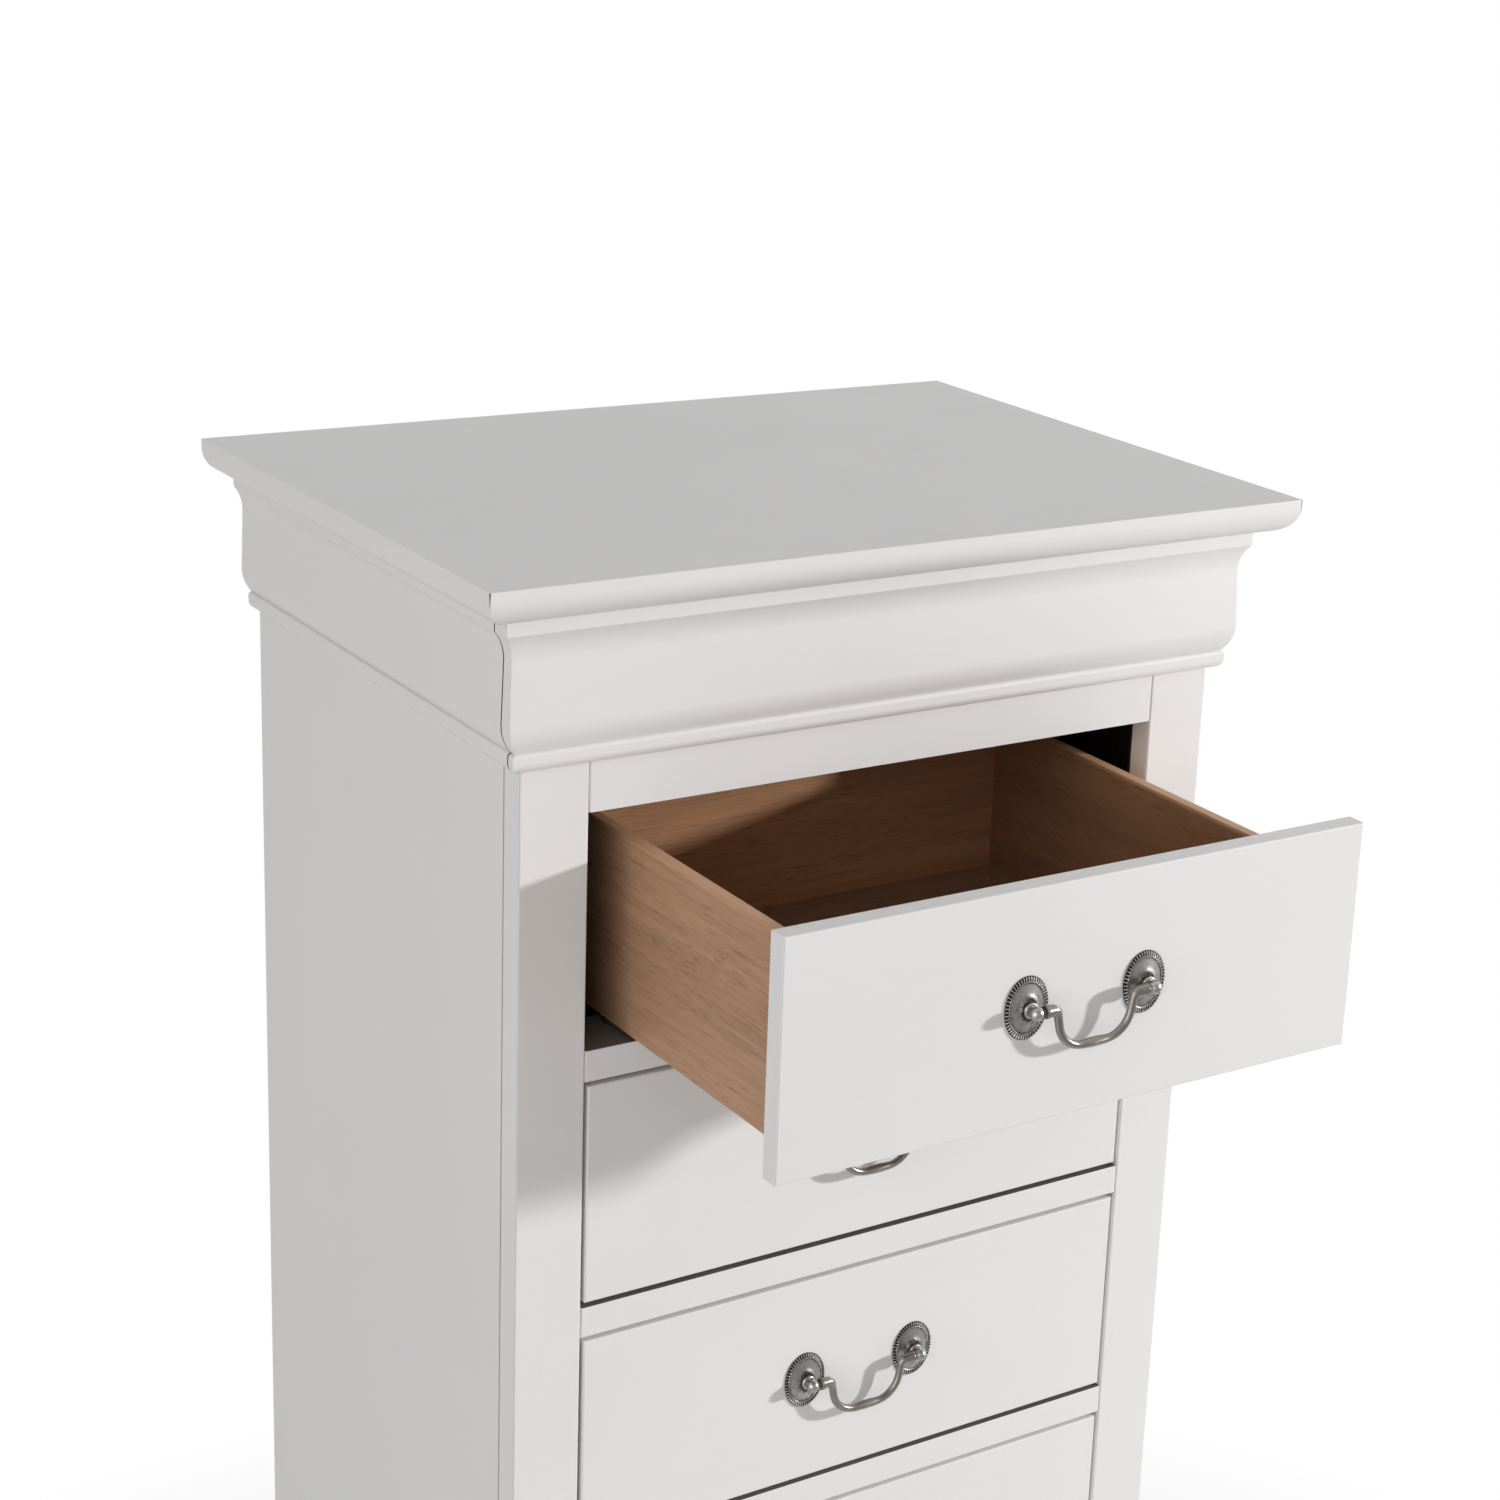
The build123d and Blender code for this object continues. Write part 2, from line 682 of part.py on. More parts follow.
def write_running_gear():
    """Write the centre runners, their rear brackets and the pads on the rails."""
    floors = [hidden_rail_top] + [opening_floor(n) for n in range(1, drawer_count + 1)]
    write("centre_runners", *[runner(floor) for floor in floors])
    write("runner_brackets", *[bracket(floor) for floor in floors])
    write("glide_pads", *[pad for floor in floors for pad in pads(floor)])


os.makedirs("parts", exist_ok=True)
write_top()
write_carcass()
write_base()
write_running_gear()
write_hidden_drawer()
for number in range(1, drawer_count + 1):
    write_drawer(f"drawer_{number}", opening_floor(number), number)
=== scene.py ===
import json
import math

import bmesh
import bpy
from bpy.props import FloatProperty, FloatVectorProperty, IntProperty, PointerProperty
from mathutils import Matrix, Vector

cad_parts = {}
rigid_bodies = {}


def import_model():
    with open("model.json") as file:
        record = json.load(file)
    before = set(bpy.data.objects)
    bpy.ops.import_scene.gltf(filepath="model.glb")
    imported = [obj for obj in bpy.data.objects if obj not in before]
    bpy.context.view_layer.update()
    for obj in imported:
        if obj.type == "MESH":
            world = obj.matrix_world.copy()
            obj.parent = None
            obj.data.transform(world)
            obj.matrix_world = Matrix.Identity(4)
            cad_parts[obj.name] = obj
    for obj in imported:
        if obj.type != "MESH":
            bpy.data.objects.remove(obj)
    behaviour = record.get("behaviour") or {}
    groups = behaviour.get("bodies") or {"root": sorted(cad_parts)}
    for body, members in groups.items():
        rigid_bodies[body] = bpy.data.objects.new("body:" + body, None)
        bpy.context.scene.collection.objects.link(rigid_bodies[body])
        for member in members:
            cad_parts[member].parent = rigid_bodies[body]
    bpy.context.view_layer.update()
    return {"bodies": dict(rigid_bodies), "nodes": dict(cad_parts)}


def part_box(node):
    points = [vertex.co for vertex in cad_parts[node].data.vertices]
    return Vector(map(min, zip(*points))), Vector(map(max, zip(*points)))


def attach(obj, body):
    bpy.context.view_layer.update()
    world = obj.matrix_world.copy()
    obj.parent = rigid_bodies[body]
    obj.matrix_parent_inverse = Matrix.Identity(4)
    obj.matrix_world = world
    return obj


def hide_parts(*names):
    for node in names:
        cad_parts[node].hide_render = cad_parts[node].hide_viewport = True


bl_info = {
    "name": "Tall chest of drawers",
    "version": (1, 0, 0),
    "blender": (4, 5, 0),
    "location": "3D View > Sidebar > Chest",
    "description": "Finishes, pulls and small fixings of a tall narrow chest of drawers",
    "category": "Object",
}

for factory_object in list(bpy.data.objects):
    bpy.data.objects.remove(factory_object)
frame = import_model()

DRAWERS = sorted(body[:-len("_bail")] for body in frame["bodies"] if body.endswith("_bail"))
MILLIMETRE = 0.001
FULL_TURN = 2 * math.pi
OUT = Vector((0, -1, 0))
RIGHT = Vector((1, 0, 0))
UP = Vector((0, 0, 1))

# Points nearer than this are one point, in new pieces and in the boards
SEAM = 0.000001
BOARD_SEAM = 0.00001
# Edges sharper than this stay sharp in new pieces, in radians, and are eased on boards, in degrees
SHARP_ANGLE = 0.7
EASED_ANGLE = 32

# Grain of each pattern in metres: its size, or its length along and its width across the wood
PAINT_CLOUD = 0.16
PAINT_SPECK = 0.0011
PAINT_FIBRE = (0.045, 0.0011)
WOOD_PATCH = 0.06
WOOD_SWAY = (0.24, 0.10)
WOOD_FIBRE = (0.09, 0.0024)
WOOD_FIGURE = (0.34, 0.02)
WOOD_GROWTH = (0.42, 0.0042)
PORE_CLUSTER = (0.09, 0.012)
PEWTER_MOTTLE = 0.0024
PEWTER_PITS = 0.0006
ZINC_MOTTLE = 0.0015
NYLON_CLOUD = 0.004
NYLON_SKIN = 0.0004
FLOOR_GRAIN = 0.004

# Depth of each relief, and how far the wood's grain sways, in metres
WOOD_RELIEF = 0.00006
PEWTER_RELIEF = 0.00005
NYLON_RELIEF = 0.00003
SWAY_REACH = 0.016

# Shares of a wood's red, green and blue in its reddish patches and in its pores
REDDISH = (1.03, 0.95, 0.9)
PORE_BROWN = (0.42, 0.36, 0.30)
# Painted shade on the inner faces of the drawer sides, as a share of that on the drawer backs
SIDE_PAINTED_SHADE = 0.68
# Share of the lighter stain on the top edges of the drawer sides and backs
LIGHT_TOP = 0.55
# Colours of the moulded fittings
BONE = (0.54, 0.50, 0.42)
BLACK = (0.03, 0.028, 0.026)

# Faces turned one way: the axis, the limits between which a finish fades in, and the share of it; on
# the rails, the side cornices and the side panels that finish is painted shade
BEHIND = ("Y", 0.45, 0.6, 1)
# ABOVE and FORWARD serve only the painted shade on the rail tops and the side cornices' front ends
ABOVE = ("Z", 0.75, 0.9, 1)
FORWARD = ("Y", -0.85, -0.95, 1)
# JOINT_SHADE paints shade at half strength on the side panels' chamfer beside the stiles
JOINT_SHADE = ("Y", -0.4, -0.65, 0.5)

# How far the stiles are painted on their inner side, the paint's edge on the outer boards and its
# softness, and the painted line of shade down the opened mitres of the top
STILE_PAINT = 16 * MILLIMETRE
PAINT_EDGE = 2 * MILLIMETRE
PAINT_BLUR = MILLIMETRE / 4
MITRE_DEPTH = 0.012
MITRE_WIDTH = 0.0006

# Patina of the metal, from rubbed bright to dark
RUBBED = 0.06
HANDLED = 0.08
DULL = 0.5
DARK = 0.8
DARKEST = 1.0
# Share of the milled rim that is bars, and how much the grip's section turns to a diamond
BAR_SHARE = 0.58
GRIP_RIDGE = 0.55

# Reach of the floor, the distances where it fades to white, and the depths where gloss sees it dim
FLOOR_REACH = 9.0
FLOOR_FADE = (0.55, 1.25)
FLOOR_FRONT = (-1.6, -0.2)
ROOM_FRONT = (-0.85, -0.1)


# Settings that a user may change

def length_setting(name, description, default, **limits):
    """A setting that is a length."""
    return FloatProperty(name=name, description=description, unit="LENGTH", default=default, **limits)


def share_setting(name, description, default):
    """A setting between 0 and 1."""
    return FloatProperty(name=name, description=description, subtype="FACTOR", min=0, max=1, default=default)


def colour_setting(name, description, default):
    """A setting that is a colour."""
    return FloatVectorProperty(name=name, description=description, subtype="COLOR", size=3, min=0, max=1,
                               default=default)


def place_setting(name, description, default):
    """A setting that is a place."""
    return FloatVectorProperty(name=name, description=description, subtype="TRANSLATION", unit="LENGTH",
                               size=3, default=default)


class PaintSettings(bpy.types.PropertyGroup):
    """The satin paint of the case and the drawer fronts."""
    colour: colour_setting("Paint", "Colour of the satin paint", (0.80, 0.787, 0.781))
    inside: colour_setting("Inside", "Colour of the stain inside the case", (0.022, 0.018, 0.016))
    # Painted shade: a dark grey for the deep shade on the rails' tops and backs and at the cornice ends
    painted_shade_grey: colour_setting("Rail top", "Colour of the thin grey coat on top of the rails",
                             (0.13, 0.122, 0.117))
    roughness: share_setting("Roughness", "How matt the paint is", 0.36)
    grain_height: length_setting("Grain height", "Depth of the wood grain that shows through the paint",
                                 0.00003, min=0)
    eased_edge: length_setting("Eased edge", "Radius that sandpaper leaves on the board edges", 0.0006, min=0)


class WoodSettings(bpy.types.PropertyGroup):
    """The stained wood of the drawer boxes, the painted shade on their inner faces, and the bare wood out of
    sight.
    """
    drawer_wood: colour_setting("Drawer wood", "Colour of the drawer sides and backs", (0.49, 0.287, 0.168))
    bottom_wood: colour_setting("Drawer bottom", "Colour of the drawer bottoms", (0.36, 0.20, 0.115))
    # Painted shade: the share of the wood's colour left on the inner faces of the drawer boxes
    inner_painted_shade: colour_setting("Inner shade", "How much of the wood's colour stays on the inner faces",
                                (0.84, 0.74, 0.64))
    hidden_wood: colour_setting("Hidden wood", "Colour of the bare boards out of sight", (0.55, 0.39, 0.24))
    pore_length: length_setting("Pore length", "Length of the dark pores along the board", 0.030, min=0.0001)
    pore_width: length_setting("Pore width", "Width of the dark pores", 0.0005, min=0.0001)
    eased_edge: length_setting("Eased edge", "Radius of the edges of the drawers' boards", 0.0004, min=0)


class MetalSettings(bpy.types.PropertyGroup):
    """The aged pewter of the pulls and the plain metal of the fixings."""
    pewter: colour_setting("Pewter", "Colour of the rubbed pewter", (0.54, 0.525, 0.51))
    patina: colour_setting("Patina", "Colour of the dark patina in the recesses", (0.035, 0.029, 0.025))
    zinc: colour_setting("Zinc", "Colour of the plated bolts, screws and pins", (0.60, 0.60, 0.58))


class PullSettings(bpy.types.PropertyGroup):
    """Sizes of the bail pulls, the same as the pieces that they stand for."""
    spacing: length_setting("Post spacing", "Distance between the two posts", 0.081)
    plate_half_width: length_setting("Plate half width", "Half the plate's width", 0.0147)
    plate_half_height: length_setting("Plate half height", "Half the plate's height", 0.0188)
    rim_width: length_setting("Rim width", "Width of the milled rim", 0.003)
    rim_height: length_setting("Rim height", "Height of the milled rim", 0.0019)
    teeth: IntProperty(name="Teeth", description="Teeth round the milled rim", min=12, default=52)
    crown_radius: length_setting("Crown radius", "Radius of the raised middle of the plate", 0.005)
    crown_height: length_setting("Crown height", "Height of the raised middle of the plate", 0.0036)
    field_height: length_setting("Field height", "Height of the plate beside its rim", 0.0013)
    collar_radius: length_setting("Collar radius", "Radius of the post's collar", 0.0046)
    collar_height: length_setting("Collar height", "Height of the post's collar", 0.0023)
    neck_radius: length_setting("Neck radius", "Radius of the post's neck", 0.0026)
    ball_radius: length_setting("Ball radius", "Radius of the post's ball", 0.0041)
    reach: length_setting("Reach", "Distance from the drawer's face to the bail's axis", 0.010)
    pin_radius: length_setting("Pin radius", "Radius of the bail's pins", 0.0015)
    pin_length: length_setting("Pin length", "Length of the bail's pins", 0.0042)
    ferrule_gap: length_setting("Ferrule gap", "Gap between the ball and the bail's flared end", 0.0012)
    ferrule_radius: length_setting("Ferrule radius", "Radius of the bail's flared end", 0.004)
    neck_share: share_setting("Neck share", "Radius of the bail's neck, as a share of the ferrule's", 0.85)
    leg_radius: length_setting("Leg radius", "Radius of the bail's legs", 0.0023)
    grip_radius: length_setting("Grip radius", "Radius of the bail in the middle of its grip", 0.0031)
    grip_half_length: length_setting("Grip half length", "Half the length of the swelled grip", 0.013)
    half_top: length_setting("Half top", "Half the distance between the bail's elbows", 0.0266)
    half_foot: length_setting("Half foot", "Half the distance between the bail's lower corners", 0.022)
    drop: length_setting("Drop", "Height of the bail from its axis to its grip", 0.0242)
    elbow_radius: length_setting("Elbow radius", "Radius of the bail's elbows", 0.004)
    corner_radius: length_setting("Corner radius", "Radius of the bail's lower corners", 0.017)


class PinSettings(bpy.types.PropertyGroup):
    """The pins that hold the drawer bottoms and the back panel."""
    bottom_radius: length_setting("Bottom pin", "Radius of the pin heads under the drawers", 0.0011)
    bottom_half_spacing: length_setting(
        "Bottom pin spacing", "Half the distance between the pins under a drawer", 0.1438)
    bottom_inset: length_setting("Bottom pin inset", "Distance from the drawer's back to the pins under it",
                                 0.021)
    back_radius: length_setting("Back pin", "Radius of the pin heads on the back panel", 0.0018)
    back_inset: length_setting("Back pin inset", "Distance from the back panel's edge to its pins", 0.005)
    back_rows: IntProperty(
        name="Back pin rows", description="Pins along each side of the back panel", min=1, default=12)


class StageSettings(bpy.types.PropertyGroup):
    """The floor, the light and the camera."""
    camera_place: place_setting("Camera", "Place of the camera", (-0.94441, -1.46258, 1.70205))
    yaw: FloatProperty(
        name="Yaw", description="Turn of the camera to the right of straight ahead",
        subtype="ANGLE", default=math.radians(35.461))
    pitch: FloatProperty(
        name="Pitch", description="Tilt of the camera above the level", subtype="ANGLE",
        default=math.radians(-16.901))
    roll: FloatProperty(
        name="Roll", description="Roll of the camera", subtype="ANGLE", default=math.radians(3.069))
    lens: FloatProperty(
        name="Lens", description="Focal length for a sensor 36 mm wide", unit="CAMERA", default=71.06)
    shift: FloatVectorProperty(
        name="Shift", description="Sideways and upward shift of the view", size=2,
        default=(-0.1333, -0.0333))
    ambient: FloatProperty(
        name="Ambient", description="Strength of the white surroundings", min=0, default=0.36)
    floor_bounce: share_setting("Floor bounce", "How much light the floor throws back at the chest", 0.45)
    dim_front: share_setting("Dim front", "How bright gloss sees the room in front of the chest", 0.4)
    aim: place_setting("Aim", "Point that the lights face", (0, -0.1, 0.95))
    key_place: place_setting("Key place", "Place of the light on the right", (2.94, -1.80, 1.71))
    key_size: length_setting("Key size", "Width of the light on the right", 0.18)
    key_power: FloatProperty(
        name="Key power", description="Power of the light on the right", unit="POWER", default=104)
    fill_place: place_setting("Fill place", "Place of the broad light on the left", (-2.2, -1.3, 1.4))
    fill_size: length_setting("Fill size", "Width of the broad light on the left", 2.4)
    fill_power: FloatProperty(
        name="Fill power", description="Power of the broad light on the left", unit="POWER", default=26.5)
    front_place: place_setting("Front place", "Place of the weak light in front", (-0.6, -2.8, 1.2))
    front_size: length_setting("Front size", "Width of the weak light in front", 1.0)
    front_power: FloatProperty(
        name="Front power", description="Power of the weak light in front", unit="POWER", default=1.3)


SETTINGS = {
    "chest_paint": PaintSettings, "chest_wood": WoodSettings, "chest_metal": MetalSettings,
    "chest_pull": PullSettings, "chest_pins": PinSettings, "chest_stage": StageSettings,
}


# Materials

class NodeWork:
    """A node tree in the making, with short calls that add to it."""

    def __init__(self, tree):
        self.nodes = tree.nodes
        self.links = tree.links

    def add(self, kind, *values, **settings):
        """Add a node with its settings, and feed its sockets in their order."""
        node = self.nodes.new(kind)
        for key, value in settings.items():
            setattr(node, key, value)
        for socket, value in zip(node.inputs, values):
            self.feed(socket, value)
        return node

    def feed(self, socket, value):
        """Link a socket to another one, or give it a value."""
        if isinstance(value, bpy.types.NodeSocket):
            self.links.new(value, socket)
        else:
            socket.default_value = value

    def fill(self, node, **values):
        """Feed sockets of a node by their names, with underscores for spaces."""
        for key, value in values.items():
            self.feed(node.inputs[key.replace("_", " ")], value)

    def between(self, value, low, high, start=0.0, end=1.0):
        """Turn a value from low to high into one from start to end, smoothly and no further."""
        node = self.add("ShaderNodeMapRange", value, low, high, start, end, interpolation_type="SMOOTHSTEP")
        return node.outputs["Result"]

    def maths(self, first, second, operation="ADD"):
        """Add two values, or work them out in another way."""
        return self.add("ShaderNodeMath", first, second, operation=operation).outputs[0]

    def absolute(self, value):
        """A value without its sign."""
        return self.maths(value, 0.0, "ABSOLUTE")

    def mix(self, factor, first, second, blend_type="MIX"):
        """Mix two colours."""
        node = self.add("ShaderNodeMix", data_type="RGBA", blend_type=blend_type)
        self.feed(node.inputs[0], factor)
        self.feed(node.inputs[6], first)
        self.feed(node.inputs[7], second)
        return node.outputs[2]

    def show(self, output, share, first, second):
        """Send a mix of two shaders to the output."""
        blend = self.add("ShaderNodeMixShader", share, first.outputs[0], second.outputs[0])
        self.feed(self.nodes[output].inputs["Surface"], blend.outputs[0])

    def axis_of(self, vector, axis):
        """One axis of a vector."""
        return self.add("ShaderNodeSeparateXYZ", vector).outputs[axis]

    def white_room(self, depth, front, back, dim):
        """How the white room is seen: a share, 1 for rays from the camera, by gloss or glass and 0 for
        light that bounces, and a strength, 1 but in gloss falling to dim towards the front."""
        path = self.add("ShaderNodeLightPath").outputs
        direct = self.maths(path["Is Camera Ray"], path["Is Transmission Ray"], "MAXIMUM")
        seen = self.maths(direct, path["Is Glossy Ray"], "MAXIMUM")
        return seen, self.maths(direct, self.between(depth, front, back, dim, 1.0), "MAXIMUM")


class Finish(NodeWork):
    """A procedural material in the making, with its shader and its patterns."""

    def __init__(self, name):
        self.material = bpy.data.materials.new(name)
        self.material.use_nodes = True
        super().__init__(self.material.node_tree)
        self.shader = self.nodes["Principled BSDF"]
        self.place = self.add("ShaderNodeTexCoord").outputs["Object"]
        self.facing = self.add("ShaderNodeNewGeometry").outputs["Normal"]

    def set(self, **values):
        """Feed the shader's sockets."""
        self.fill(self.shader, **values)

    def stretched(self, size, offset=(0, 0, 0), place=None):
        """The place divided by a size, the same all ways or one for each axis, so that one unit is one
        grain of the pattern."""
        sizes = size if isinstance(size, tuple) else (size, size, size)
        node = self.add("ShaderNodeMapping")
        self.fill(node, Vector=place or self.place, Location=offset, Scale=tuple(1 / s for s in sizes))
        return node.outputs["Vector"]

    def noise(self, size, detail=2.0, roughness=0.5, offset=(0, 0, 0), place=None, output="Fac"):
        """Noise with grains of a size, the same all ways or one for each axis."""
        vector = self.stretched(size, offset, place)
        node = self.add("ShaderNodeTexNoise")
        self.fill(node, Vector=vector, Scale=1.0, Detail=detail, Roughness=roughness)
        return node.outputs[output]

    def wavering(self, size, sway):
        """The place swayed gently sideways, so that straight grain along it flows in slow curves."""
        drift = self.noise(size, detail=1, output="Color")
        centred = self.add("ShaderNodeVectorMath", drift, (0.5, 0.5, 0.5), operation="SUBTRACT")
        swayed = self.add("ShaderNodeVectorMath", centred.outputs[0], (sway, sway, sway), self.place,
                          operation="MULTIPLY_ADD")
        return swayed.outputs[0]

    def bump(self, height, distance):
        """Relief from a height between 0 and 1."""
        node = self.add("ShaderNodeBump")
        self.fill(node, Height=height, Distance=distance)
        return node.outputs["Normal"]


def rgba(colour, share=1.0):
    """A colour with its alpha, made lighter or darker by a share."""
    return (*(min(1.0, c * share) for c in colour), 1.0)


def grey(level):
    """A grey with its alpha."""
    return rgba((level, level, level))


def tinted(colour, tint):
    """A colour with its alpha, with each of its three parts multiplied by that of a tint."""
    return rgba([c * t for c, t in zip(colour, tint)])


def along(axis, length, width):
    """Size of a grain that is long on one axis and narrow on the other two."""
    return tuple(length if name == axis else width for name in "XYZ")


def beyond(f, axis, limit, way):
    """1 where the surface lies past a limit on an axis, with a soft uneven edge. Left and right count
    alike, and way is 1 for past and -1 for short of the limit."""
    value = f.axis_of(f.place, axis)
    if axis == "X":
        value = f.absolute(value)
    uneven = f.between(f.noise(PAINT_SPECK, detail=1), 0.2, 0.8, -PAINT_BLUR, PAINT_BLUR)
    depth = f.maths(f.maths(value, limit, "SUBTRACT"), uneven)
    return f.between(f.maths(depth, way, "MULTIPLY"), 0.0, 2 * PAINT_BLUR)


def paint(name, grain, bare=(), turned=(), under=None, mitre=None):
    """Satin paint over wood whose grain runs along an axis. The paint stops, and the stain under it
    shows, where every limit in bare is passed, and by a share on faces turned past any limit in turned;
    on the rail tops, the side cornices' front ends and the side panels' joint chamfers that colour is
    painted shade. mitre is the corner of a mitre that has opened a little, with a painted line of shade
    down its gap."""
    settings = bpy.context.scene.chest_paint
    f = Finish(name)
    fibre = f.noise(along(grain, *PAINT_FIBRE), detail=3, roughness=0.6)
    cloud = f.noise(PAINT_CLOUD, detail=3)
    speck = f.noise(PAINT_SPECK, detail=1)
    colour = f.mix(f.between(cloud, 0.3, 0.7), rgba(settings.colour, 0.988), rgba(settings.colour, 1.008))
    colour = f.mix(f.between(fibre, 0.25, 0.5, 0.04, 0), colour, rgba(settings.colour, 0.75))
    rough = f.between(fibre, 0.2, 0.8, settings.roughness + 0.07, settings.roughness - 0.03)
    masks = []
    if bare:
        mask = beyond(f, *bare[0])
        for limit in bare[1:]:
            mask = f.maths(mask, beyond(f, *limit), "MINIMUM")
        masks.append(mask)
    for axis, low, high, share in turned:
        masks.append(f.between(f.axis_of(f.facing, axis), low, high, 0, share))
    if mitre:
        masks.append(opened_mitre_shade(f, *mitre))
    # The colour under the paint: a stain, and on some faces painted shade
    stain = under or settings.inside
    for mask in masks:
        shade = f.mix(fibre, rgba(stain, 0.7), rgba(stain, 1.5))
        colour = f.mix(mask, colour, shade)
    height = f.maths(fibre, f.maths(speck, 0.35, "MULTIPLY"))
    f.set(Base_Color=colour, Roughness=rough, Specular_IOR_Level=0.5,
          Normal=f.bump(height, settings.grain_height))
    return f.material


def opened_mitre_shade(f, half_width, front, top):
    """A line of painted shade down a front corner, widest at the top, in the gap where the mitre has opened.
    """
    side = f.maths(f.absolute(f.axis_of(f.place, "X")), half_width, "SUBTRACT")
    depth = f.maths(f.axis_of(f.place, "Y"), front, "SUBTRACT")
    across = f.absolute(f.maths(side, depth))
    opening = f.between(f.axis_of(f.place, "Z"), top - MITRE_DEPTH, top, 0.0, MITRE_WIDTH)
    upright = f.between(f.absolute(f.axis_of(f.facing, "Z")), 0.8, 0.6)
    return f.maths(f.maths(opening, across, "GREATER_THAN"), upright, "MULTIPLY")


def wood(name, colour, grain, gloss=0.42, light_top=0.0, inner=None):
    """Wood with long fine dark pores that flow along the board, soft broad figure and a lighter top edge.
    inner is the axis of the board's inner face, which is darkened with painted shade: it looks forward
    on Y, and to the middle of the drawer on X."""
    settings = bpy.context.scene.chest_wood
    f = Finish(name)
    flow = f.wavering(along(grain, *WOOD_SWAY), SWAY_REACH)
    pores = f.noise(along(grain, settings.pore_length, settings.pore_width), detail=1, place=flow)
    clusters = f.noise(along(grain, *PORE_CLUSTER), detail=2, offset=(7, 3, 5), place=flow)
    fibre = f.noise(along(grain, *WOOD_FIBRE), detail=3, roughness=0.6, place=flow)
    figure = f.noise(along(grain, *WOOD_FIGURE), detail=2, offset=(3.1, 1.7, 0.4), place=flow)
    growth = f.noise(along(grain, *WOOD_GROWTH), detail=2, offset=(1.3, 4.4, 2.6), place=flow)
    patch = f.noise(WOOD_PATCH, detail=2, offset=(0.6, 2.2, 5.1))
    tone = f.mix(f.between(figure, 0.35, 0.65), rgba(colour, 0.90), rgba(colour, 1.07))
    tone = f.mix(f.between(patch, 0.45, 0.7, 0, 0.6), tone, tinted(colour, REDDISH))
    tone = f.mix(f.between(growth, 0.5, 0.62, 0, 0.3), tone, rgba(colour, 0.72))
    tone = f.mix(f.between(fibre, 0.35, 0.6, 0.3, 0), tone, rgba(colour, 0.70))
    dark = f.maths(f.between(pores, 0.43, 0.36), f.between(clusters, 0.36, 0.62, 0.2, 0.62), "MULTIPLY")
    tone = f.mix(dark, tone, tinted(colour, PORE_BROWN))
    if light_top:
        upward = f.between(f.axis_of(f.facing, "Z"), 0.3, 0.9, 0, light_top)
        tone = f.mix(upward, tone, rgba(colour, 1.45))
    # Painted shade: the inner faces are darkened, as the inside of a drawer box lies in shade
    if inner:
        away = f.axis_of(f.facing, inner)
        depth = 1.0
        if inner == "X":
            away = f.maths(away, f.axis_of(f.place, "X"), "MULTIPLY")
            depth = SIDE_PAINTED_SHADE
        tone_in_painted_shade = f.mix(1.0, tone, rgba(settings.inner_painted_shade, depth), "MULTIPLY")
        tone = f.mix(f.between(away, -0.02, -0.08), tone, tone_in_painted_shade)
    rough = f.between(fibre, 0.3, 0.7, gloss + 0.12, gloss)
    height = f.maths(f.maths(dark, -1.0, "MULTIPLY"), f.maths(fibre, 0.4, "MULTIPLY"))
    f.set(Base_Color=tone, Roughness=rough, Specular_IOR_Level=0.35, Normal=f.bump(height, WOOD_RELIEF))
    return f.material


def pewter(name):
    """Aged pewter: rubbed bright where hands reach, mottled, and dark in the recesses."""
    settings = bpy.context.scene.chest_metal
    f = Finish(name)
    recess = f.add("ShaderNodeAttribute", attribute_type="GEOMETRY", attribute_name="patina").outputs["Fac"]
    mottle = f.noise(PEWTER_MOTTLE, detail=4, roughness=0.7)
    pits = f.noise(PEWTER_PITS, detail=2, offset=(2, 5, 1))
    age = f.maths(recess, f.between(mottle, 0.35, 0.75, -0.14, 0.2))
    age = f.maths(age, f.between(pits, 0.3, 0.7, -0.05, 0.08))
    age = f.between(age, 0.0, 1.0)
    colour = f.mix(age, rgba(settings.pewter), rgba(settings.patina))
    rough = f.maths(f.between(age, 0.0, 1.0, 0.3, 0.55), f.between(mottle, 0.3, 0.7, -0.04, 0.08))
    f.set(Base_Color=colour, Metallic=1.0, Roughness=rough,
          Normal=f.bump(f.maths(mottle, pits), PEWTER_RELIEF))
    return f.material


def zinc(name):
    """Bright zinc plate with a faint mottle."""
    settings = bpy.context.scene.chest_metal
    f = Finish(name)
    mottle = f.noise(ZINC_MOTTLE, detail=3)
    colour = f.mix(f.between(mottle, 0.3, 0.7), rgba(settings.zinc, 0.82), rgba(settings.zinc))
    f.set(Base_Color=colour, Metallic=1.0, Roughness=f.between(mottle, 0.3, 0.7, 0.28, 0.42))
    return f.material


def nylon(name, colour):
    """Matt moulded nylon."""
    f = Finish(name)
    cloud = f.noise(NYLON_CLOUD, detail=3)
    skin = f.noise(NYLON_SKIN, detail=1)
    f.set(Base_Color=f.mix(cloud, rgba(colour, 0.9), rgba(colour, 1.1)), Roughness=0.55,
          Normal=f.bump(skin, NYLON_RELIEF))
    return f.material


# Work on the pieces

def coat(node, material):
    """Give a CAD node a finish in every one of its slots."""
    for slot in frame["nodes"][node].material_slots:
        slot.material = material


def ease(node, radius):
    """Round the sharp edges of a board a little, as sandpaper does."""
    piece = frame["nodes"][node]
    weld = piece.modifiers.new("seams", "WELD")
    weld.merge_threshold = BOARD_SEAM
    edge = piece.modifiers.new("eased_edge", "BEVEL")
    edge.width = radius
    edge.segments = 2
    edge.limit_method = "ANGLE"
    edge.angle_limit = math.radians(EASED_ANGLE)
    edge.use_clamp_overlap = True
    shade = piece.modifiers.new("even_shade", "WEIGHTED_NORMAL")
    shade.keep_sharp = False
    shade.weight = 80


